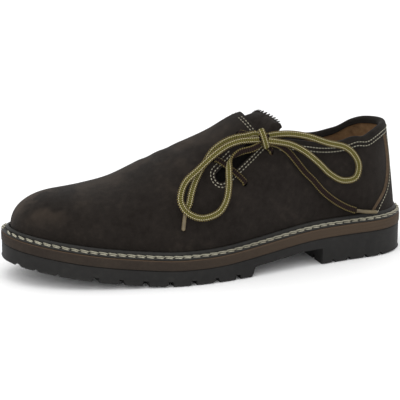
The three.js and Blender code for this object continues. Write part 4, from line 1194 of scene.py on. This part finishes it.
def make_upper():
    """The upper as one shell of leather with a real wall, open at the collar and underneath. The faces whose
    middle lies in a cut are left out, and the points round it slide onto its edge."""
    extra = [BINDING_END, 0.384, 0.394, 0.399, 0.404, 0.408, 0.412, THROAT]
    base = even_shares(250)
    base = base[np.min(np.abs(base[:, None] - np.array(extra)[None, :]), axis=1) > 0.0016]
    shares = np.sort(np.concatenate([base, extra]))
    rows = np.linspace(0, 1, 66)
    outer_around, inner_around = (
        1 - (1 - edge_around(shares, side)[:, None]) * rows[None, :] for side in (-1, 1))
    count, width = outer_around.shape
    share = np.tile(np.repeat(shares, width), 2)
    turn = np.concatenate([-outer_around.ravel(), inner_around.ravel()])
    faces = np.concatenate([quads_of(count, width, flip=True), quads_of(count, width) + count * width])

    # Faces in a cut go, and the free points slide to its edge
    middle_share = share[faces].mean(axis=1)
    middle_turn = turn[faces].mean(axis=1)
    kept = holes_distance(middle_share, middle_turn) > 0
    in_cut = np.zeros(len(share), bool)
    in_cut[faces[~kept].ravel()] = True
    used = np.zeros(len(share), bool)
    used[faces[kept].ravel()] = True
    free = in_cut & used
    share[free], turn[free] = slide_to_edge(share[free], turn[free], holes_distance)
    faces = faces[kept]

    # The two halves share the heel's back line, the ridge in front of the throat and the toe's tip
    same = np.arange(len(share))
    half = count * width
    ahead = np.flatnonzero(shares >= THROAT - 1e-9)
    same[half + ahead * width + width - 1] = ahead * width + width - 1
    same[half + np.arange(width)] = np.arange(width)
    tip = (count - 1) * width
    same[tip:tip + width] = tip
    same[half + tip:half + tip + width] = tip
    faces = same[faces]
    used = np.unique(faces)
    number = np.full(len(share), -1)
    number[used] = np.arange(len(used))
    faces = number[faces]
    share, turn = share[used], turn[used]

    outer = skin(share, turn)
    inner = last(share, turn, WALL)
    total = len(outer)
    starts = faces.ravel()
    ends = np.roll(faces, -1, axis=1).ravel()
    real = starts != ends
    starts, ends = starts[real], ends[real]
    keys, back_keys = starts * total + ends, ends * total + starts
    border = ~np.isin(keys, back_keys)
    a, b = starts[border], ends[border]
    rim = np.stack([b, a, a + total, b + total], -1)
    outer_faces = clean(faces)
    inner_faces = clean(faces[:, ::-1] + total)
    all_faces = outer_faces + inner_faces + rim.tolist()
    marks = [0] * len(outer_faces) + [1] * len(inner_faces) + [0] * len(rim)
    # Lighter on the outer face: rubbed nap and a painted highlight on the top; the lining gets none
    wear_and_painted_light = np.concatenate([wear_and_highlight_at(share, turn), np.zeros(total)])
    piece("nubuck_upper", np.concatenate([outer, inner]), all_faces, [NUBUCK, LINING], replaces=("upper",),
          slot="nubuck", marks=marks, attributes={"wear_and_painted_light": wear_and_painted_light}, sharp=50)


def make_binding():
    """Rolled binding over the collar's edge: an upturned U carried from the slit round the heel to the inner
    side. Its corners are cut twice, which rounds the section."""
    shares = even_shares(150, 0.0, BINDING_END, turn=-0.3)
    halves = []
    for side in (-1.0, 1.0):
        forward = smooth(shares, LEAN_TO, BINDING_END)
        leg = BINDING_OUTER_LEG + (BINDING_FRONT_LEG - BINDING_OUTER_LEG) * forward
        edge = edge_around(shares, side)
        outer_rim = last(shares, side * edge)
        inner_rim = last(shares, side * edge, WALL)
        middle = (outer_rim + inner_rim) / 2
        out = unit(outer_rim - inner_rim)
        up = unit(np.array((0.0, 0.0, 1.0)) - out * out[:, 2:3])

        def on_wall(depth, inset):
            """A line on the upper's wall, below the collar's edge by a depth."""
            return last(shares, side * around_at(shares, inset, outer_rim[:, 2] - depth), inset)

        def on_rim(away, height):
            """A line over the collar's edge: away from its middle, and up."""
            return middle + out * away + up * height

        reach = WALL / 2 + BINDING_CLEARANCE
        skin_out = -BINDING_CLEARANCE - BINDING_THICKNESS
        skin_in = WALL + BINDING_CLEARANCE + BINDING_THICKNESS
        thick = BINDING_THICKNESS
        corners = [
            on_wall(leg + 0.6, -0.1), on_wall(leg, -BINDING_CLEARANCE - 0.8), on_wall(leg / 2, skin_out),
            on_rim(reach + thick, 0), on_rim(reach + thick * 0.4, BINDING_CROWN * 0.8),
            on_rim(0, BINDING_CROWN + 0.3), on_rim(-reach - thick * 0.4, BINDING_CROWN * 0.8),
            on_rim(-reach - thick, 0),
            on_wall(BINDING_INNER_LEG, skin_in), on_wall(BINDING_INNER_LEG + 0.3, WALL + 0.1),
            on_rim(-reach + 0.4, 0), on_rim(0, -0.2), on_rim(reach - 0.4, 0), on_wall(leg / 2, 0.1),
        ]
        halves.append(np.stack(corners, 1))
    rings = np.concatenate([halves[0][::-1], halves[1][1:]])
    for _ in range(2):
        after = np.roll(rings, -1, axis=1)
        rings = np.stack([0.75 * rings + 0.25 * after, 0.25 * rings + 0.75 * after], 2)
        rings = rings.reshape(rings.shape[0], -1, 3)
    count, width = rings.shape[:2]
    faces = quads_of(count, width, wrap=True, flip=True).tolist()
    faces.append(list(range(width)))
    faces.append(list(range(count * width - 1, (count - 1) * width - 1, -1)))
    piece("rolled_binding", rings.reshape(-1, 3), faces, [NUBUCK_DARK], replaces=("collar_binding",),
          slot="nubuck_dark", attributes={"wear_and_painted_light": np.zeros(count * width)}, sharp=60)


def counter_place(column, row):
    """Share of the length and height of a place on the heel counter, from its column (-1 to 1) and its row
    (0 at the welt to 1 at the top)."""
    share = read(COUNTER_EDGE, "length", row) * column * column
    top = edge_height(share, column) - BINDING_OUTER_LEG - GAP + 0.6
    foot = last(share, -1.0)
    bottom = welt_top(foot[..., 0]) + BEAD_HEIGHT - 0.6
    return share, bottom + (top - bottom) * row


def make_counter():
    """Heel counter: a second skin round the heel, with its raw edge showing in front."""
    columns_at = np.linspace(-1, 1, 121)[:, None]
    rows_at = np.linspace(0, 1, 61)[None, :]
    share, height = counter_place(columns_at, rows_at)
    side = np.where(columns_at < 0, -1.0, 1.0)
    outer, inner = (
        last(share, side * around_at(share, inset, height), inset) for inset in (-COUNTER_OUT, 0.3))
    parts = sheet_parts(outer, inner, with_middle=True)
    points, faces = joined(parts)
    sheets = len(parts[0][1]) + len(parts[1][1])
    marks = [0] * sheets + [1] * (len(faces) - sheets)
    piece("counter_skin", points, faces, [NUBUCK, RAW_EDGE], replaces=("heel_counter",), slot="nubuck",
          marks=marks, attributes={"wear_and_painted_light": np.zeros(len(points))}, sharp=50)


def make_tongue():
    """Tongue: a soft sheet under the vamp with a pinked edge. It shows behind the throat and in the slit."""
    column = np.linspace(-1, 1, TONGUE_TEETH * 8 + 1)[:, None]
    row = np.linspace(0, 1, 60)[None, :]
    wave = np.abs((column * TONGUE_TEETH) % 2 - 1)
    slanted = TONGUE_SLANT * (column + 1) / 2 + TONGUE_CORNER * column ** 4
    start = TONGUE["at"][0] + slanted + wave * TONGUE_TOOTH / SOLE_LENGTH
    share = start + (TONGUE["at"][-1] - start) * row
    outer, inner = read(TONGUE, "outer", share), read(TONGUE, "inner", share)
    turn = column * np.where(column < 0, outer, inner)
    deeper = TONGUE_DEEPER * (1 - smooth(share, THROAT - 0.01, THROAT + 0.03))
    free = 1 - smooth(share, TONGUE_FREE_FROM, TONGUE_FREE_TO)
    free = free * (1 - smooth(np.abs(turn), TONGUE_FLAT_FROM, TONGUE_FLAT_TO))
    crown = np.maximum(free, 1 - smooth(np.abs(turn), TONGUE_CROWN_FROM, TONGUE_CROWN_TO))
    droop = (read(TONGUE, "droop", share) - read(TONGUE, "rise", share) * crown) * INSTEP_HEIGHT
    droop = droop - TONGUE_CURL * (1 - smooth(share - TONGUE["at"][0] - slanted, 0.0, TONGUE_CURL_REACH))
    faces_at = []
    for inset in (TONGUE_DEPTH, TONGUE_DEPTH + TONGUE_SHEET):
        points = last(share, turn, inset + deeper)
        ridge = last(share, 0.0, inset + deeper)
        fallen = ridge[..., 2] - TONGUE_FALL * (points[..., 1] - ridge[..., 1]) ** 2
        points[..., 2] += (fallen - points[..., 2]) * free - droop
        faces_at.append(points)
    points, faces = joined(sheet_parts(*faces_at))

    # In front of the throat only the slit shows the tongue, and there its colour is painted near black: painted
    # shade in the slit
    slit_shade = -smooth(-points[:, 0], TONGUE_SHOWN_FROM, TONGUE_SHOWN_TO)
    piece("pinked_tongue", points, faces, [NUBUCK], replaces=("tongue",), slot="nubuck_dark",
          attributes={"wear_and_painted_light": slit_shade}, sharp=50)


def row_on(points, normals, pitch, trim=0.6):
    """Stitch centres at an even pitch along a line of points with normals."""
    run = steps(points)
    at = np.arange(trim, run[-1] - trim, pitch)
    ahead = unit(read_along(at, run, np.gradient(points, axis=0)))
    return read_along(at, run, points), ahead, unit(read_along(at, run, normals))


def find_place(x, z, share, around, rounds=12):
    """The outer side's place seen at x, z in the side view, by Newton's steps from a first guess."""
    share = np.broadcast_to(share, x.shape).astype(float).copy()
    around = np.broadcast_to(around, x.shape).astype(float).copy()
    step = 1e-4
    for _ in range(rounds):
        here = last(share, -around)
        by_share = (last(share + step, -around) - here) / step
        by_around = (last(share, -around - step) - here) / step
        miss_x, miss_z = x - here[..., 0], z - here[..., 2]
        det = by_share[..., 0] * by_around[..., 2] - by_around[..., 0] * by_share[..., 2]
        share += (miss_x * by_around[..., 2] - by_around[..., 0] * miss_z) / det
        around += (by_share[..., 0] * miss_z - miss_x * by_share[..., 2]) / det
        around = np.clip(around, 0.0, 1.0)
    return share, around


def slit_stitch_line(offset):
    """A line beside the slit's edge: up the vamp's side, round the slit's end and up the quarter's side."""
    top, end = last(SLIT_TOP[0], -SLIT_TOP[1]), last(SLIT_END[0], -SLIT_END[1])
    centre = np.array([end[0], end[2]])
    along = np.array([top[0], top[2]]) - centre
    length = np.linalg.norm(along)
    along = along / length
    across = np.array([-along[1], along[0]])
    radius = SLIT_WIDTH / 2 + offset
    down = np.linspace(length + 2, 0, 60)[:, None]
    first = centre + along * down + across * radius
    angle = np.linspace(0, np.pi, 40)[:, None]
    bend = centre + across * radius * np.cos(angle) - along * radius * np.sin(angle)
    second = centre + along * down[::-1] - across * radius
    plan = np.concatenate([first, bend[1:-1], second])
    share, around = find_place(plan[:, 0], plan[:, 1], SLIT_END[0], 0.40)
    on_vamp = (plan - centre) @ across > 0
    in_front = share > SLIT_END[0] - SLIT_STITCHES_FRONT
    kept = np.where(on_vamp, in_front, around > edge_around(share, -1) + 0.02)
    return share[kept], around[kept]


def make_upper_stitches():
    """Every row of stitches on the upper: round the slit, along the vamp's edge, under the collar and on the
    counter."""
    rows = []

    # Two rows beside the slit, each in runs where the line is broken by the throat
    for offset in SLIT_STITCHES:
        share, around = slit_stitch_line(offset)
        points = skin(share, -around, STITCH_LIFT)
        normals = surface_normal(share, -around)
        gaps = np.concatenate([[0], np.flatnonzero(np.linalg.norm(np.diff(points, axis=0), axis=1) > 6) + 1,
                               [len(points)]])
        for first, after in zip(gaps[:-1], gaps[1:]):
            if after - first > 4:
                rows.append(row_on(points[first:after], normals[first:after], SLIT_PITCH))

    # Two rows along the vamp's edge, from the ridge down each side
    for side in (-1.0, 1.0):
        for offset in VAMP_STITCHES:
            edge_share = THROAT - (THROAT - VAMP_STITCHES_BACK) * np.linspace(1, 0.02, 60) ** 2
            turn = side * edge_around(edge_share, side)
            share = edge_share + offset
            points = skin(share, turn, STITCH_LIFT)
            rows.append(row_on(points, surface_normal(share, turn - side * 0.001), VAMP_PITCH))

    # Two rows under the collar's roll
    share = even_shares(260, 0.0, BINDING_END - 0.004, turn=-0.3)
    for side in (-1.0, 1.0):
        rim = last(share, side * edge_around(share, side))[:, 2]
        for depth, out in ((2.2, 1.95), (5.0, 1.7)):
            turn = side * around_at(share, -out, rim - depth)
            points = last(share, turn, -out)
            rows.append(row_on(points, surface_normal(share, turn), COLLAR_PITCH))

    # One row on each side, behind the counter's raw edge
    row = np.linspace(0.01, 0.99, 120)
    for column in (-0.93, 0.93):
        share, height = counter_place(np.full_like(row, column), row)
        turn = np.sign(column) * around_at(share, -2.0, height)
        points = last(share, turn, -2.1)
        rows.append(row_on(points, surface_normal(share, turn), COUNTER_PITCH))
    centres, ahead, up = (np.concatenate([row[k] for row in rows]) for k in range(3))
    stitches(centres, ahead, up, 1.6, 0.75, 0.55, "upper_stitches")


make_upper()
make_binding()
make_counter()
make_tongue()
make_upper_stitches()

# Floor, sky and studio light


def make_stage():
    """A pale floor, an even white sky and two soft lamps."""
    floor_mesh = bpy.data.meshes.new("floor")
    reach = 6.0
    corners = [(-reach, -reach, 0), (reach, -reach, 0), (reach, reach, 0), (-reach, reach, 0)]
    floor_mesh.from_pydata(corners, [], [(0, 1, 2, 3)])
    material, tree, shader, place = new_material("pale_floor", 0.9, Specular_IOR_Level=0.1)
    soft = add(tree, "ShaderNodeTexNoise", {"Vector": place, "Scale": 3.0}).outputs["Fac"]
    pale = mix_of(tree, soft, linear(250, 250, 250), linear(253, 253, 253))
    tree.links.new(pale, shader.inputs["Base Color"])
    floor_mesh.materials.append(material)
    floor = bpy.data.objects.new("floor", floor_mesh)
    bpy.context.scene.collection.objects.link(floor)

    world = bpy.data.worlds.new("studio")
    bpy.context.scene.world = world
    world.use_nodes = True
    sky = world.node_tree.nodes["Background"]
    sky.inputs["Color"].default_value = (1.0, 1.0, 1.0, 1.0)
    sky.inputs["Strength"].default_value = 1.12

    for name, place, target, size, power in (
            ("softbox_top", (-0.45, -0.35, 1.5), (-0.12, 0, 0.05), 1.2, 4),
            ("softbox_front", (-1.0, -1.5, 0.9), (-0.12, 0, 0.05), 1.0, 6)):
        data = bpy.data.lights.new(name, "AREA")
        data.shape = "SQUARE"
        data.size = size
        data.energy = power
        lamp = bpy.data.objects.new(name, data)
        lamp.location = place
        lamp.rotation_euler = (Vector(target) - Vector(place)).to_track_quat("-Z", "Y").to_euler()
        bpy.context.scene.collection.objects.link(lamp)
    bpy.context.scene.view_settings.view_transform = "Standard"


make_stage()
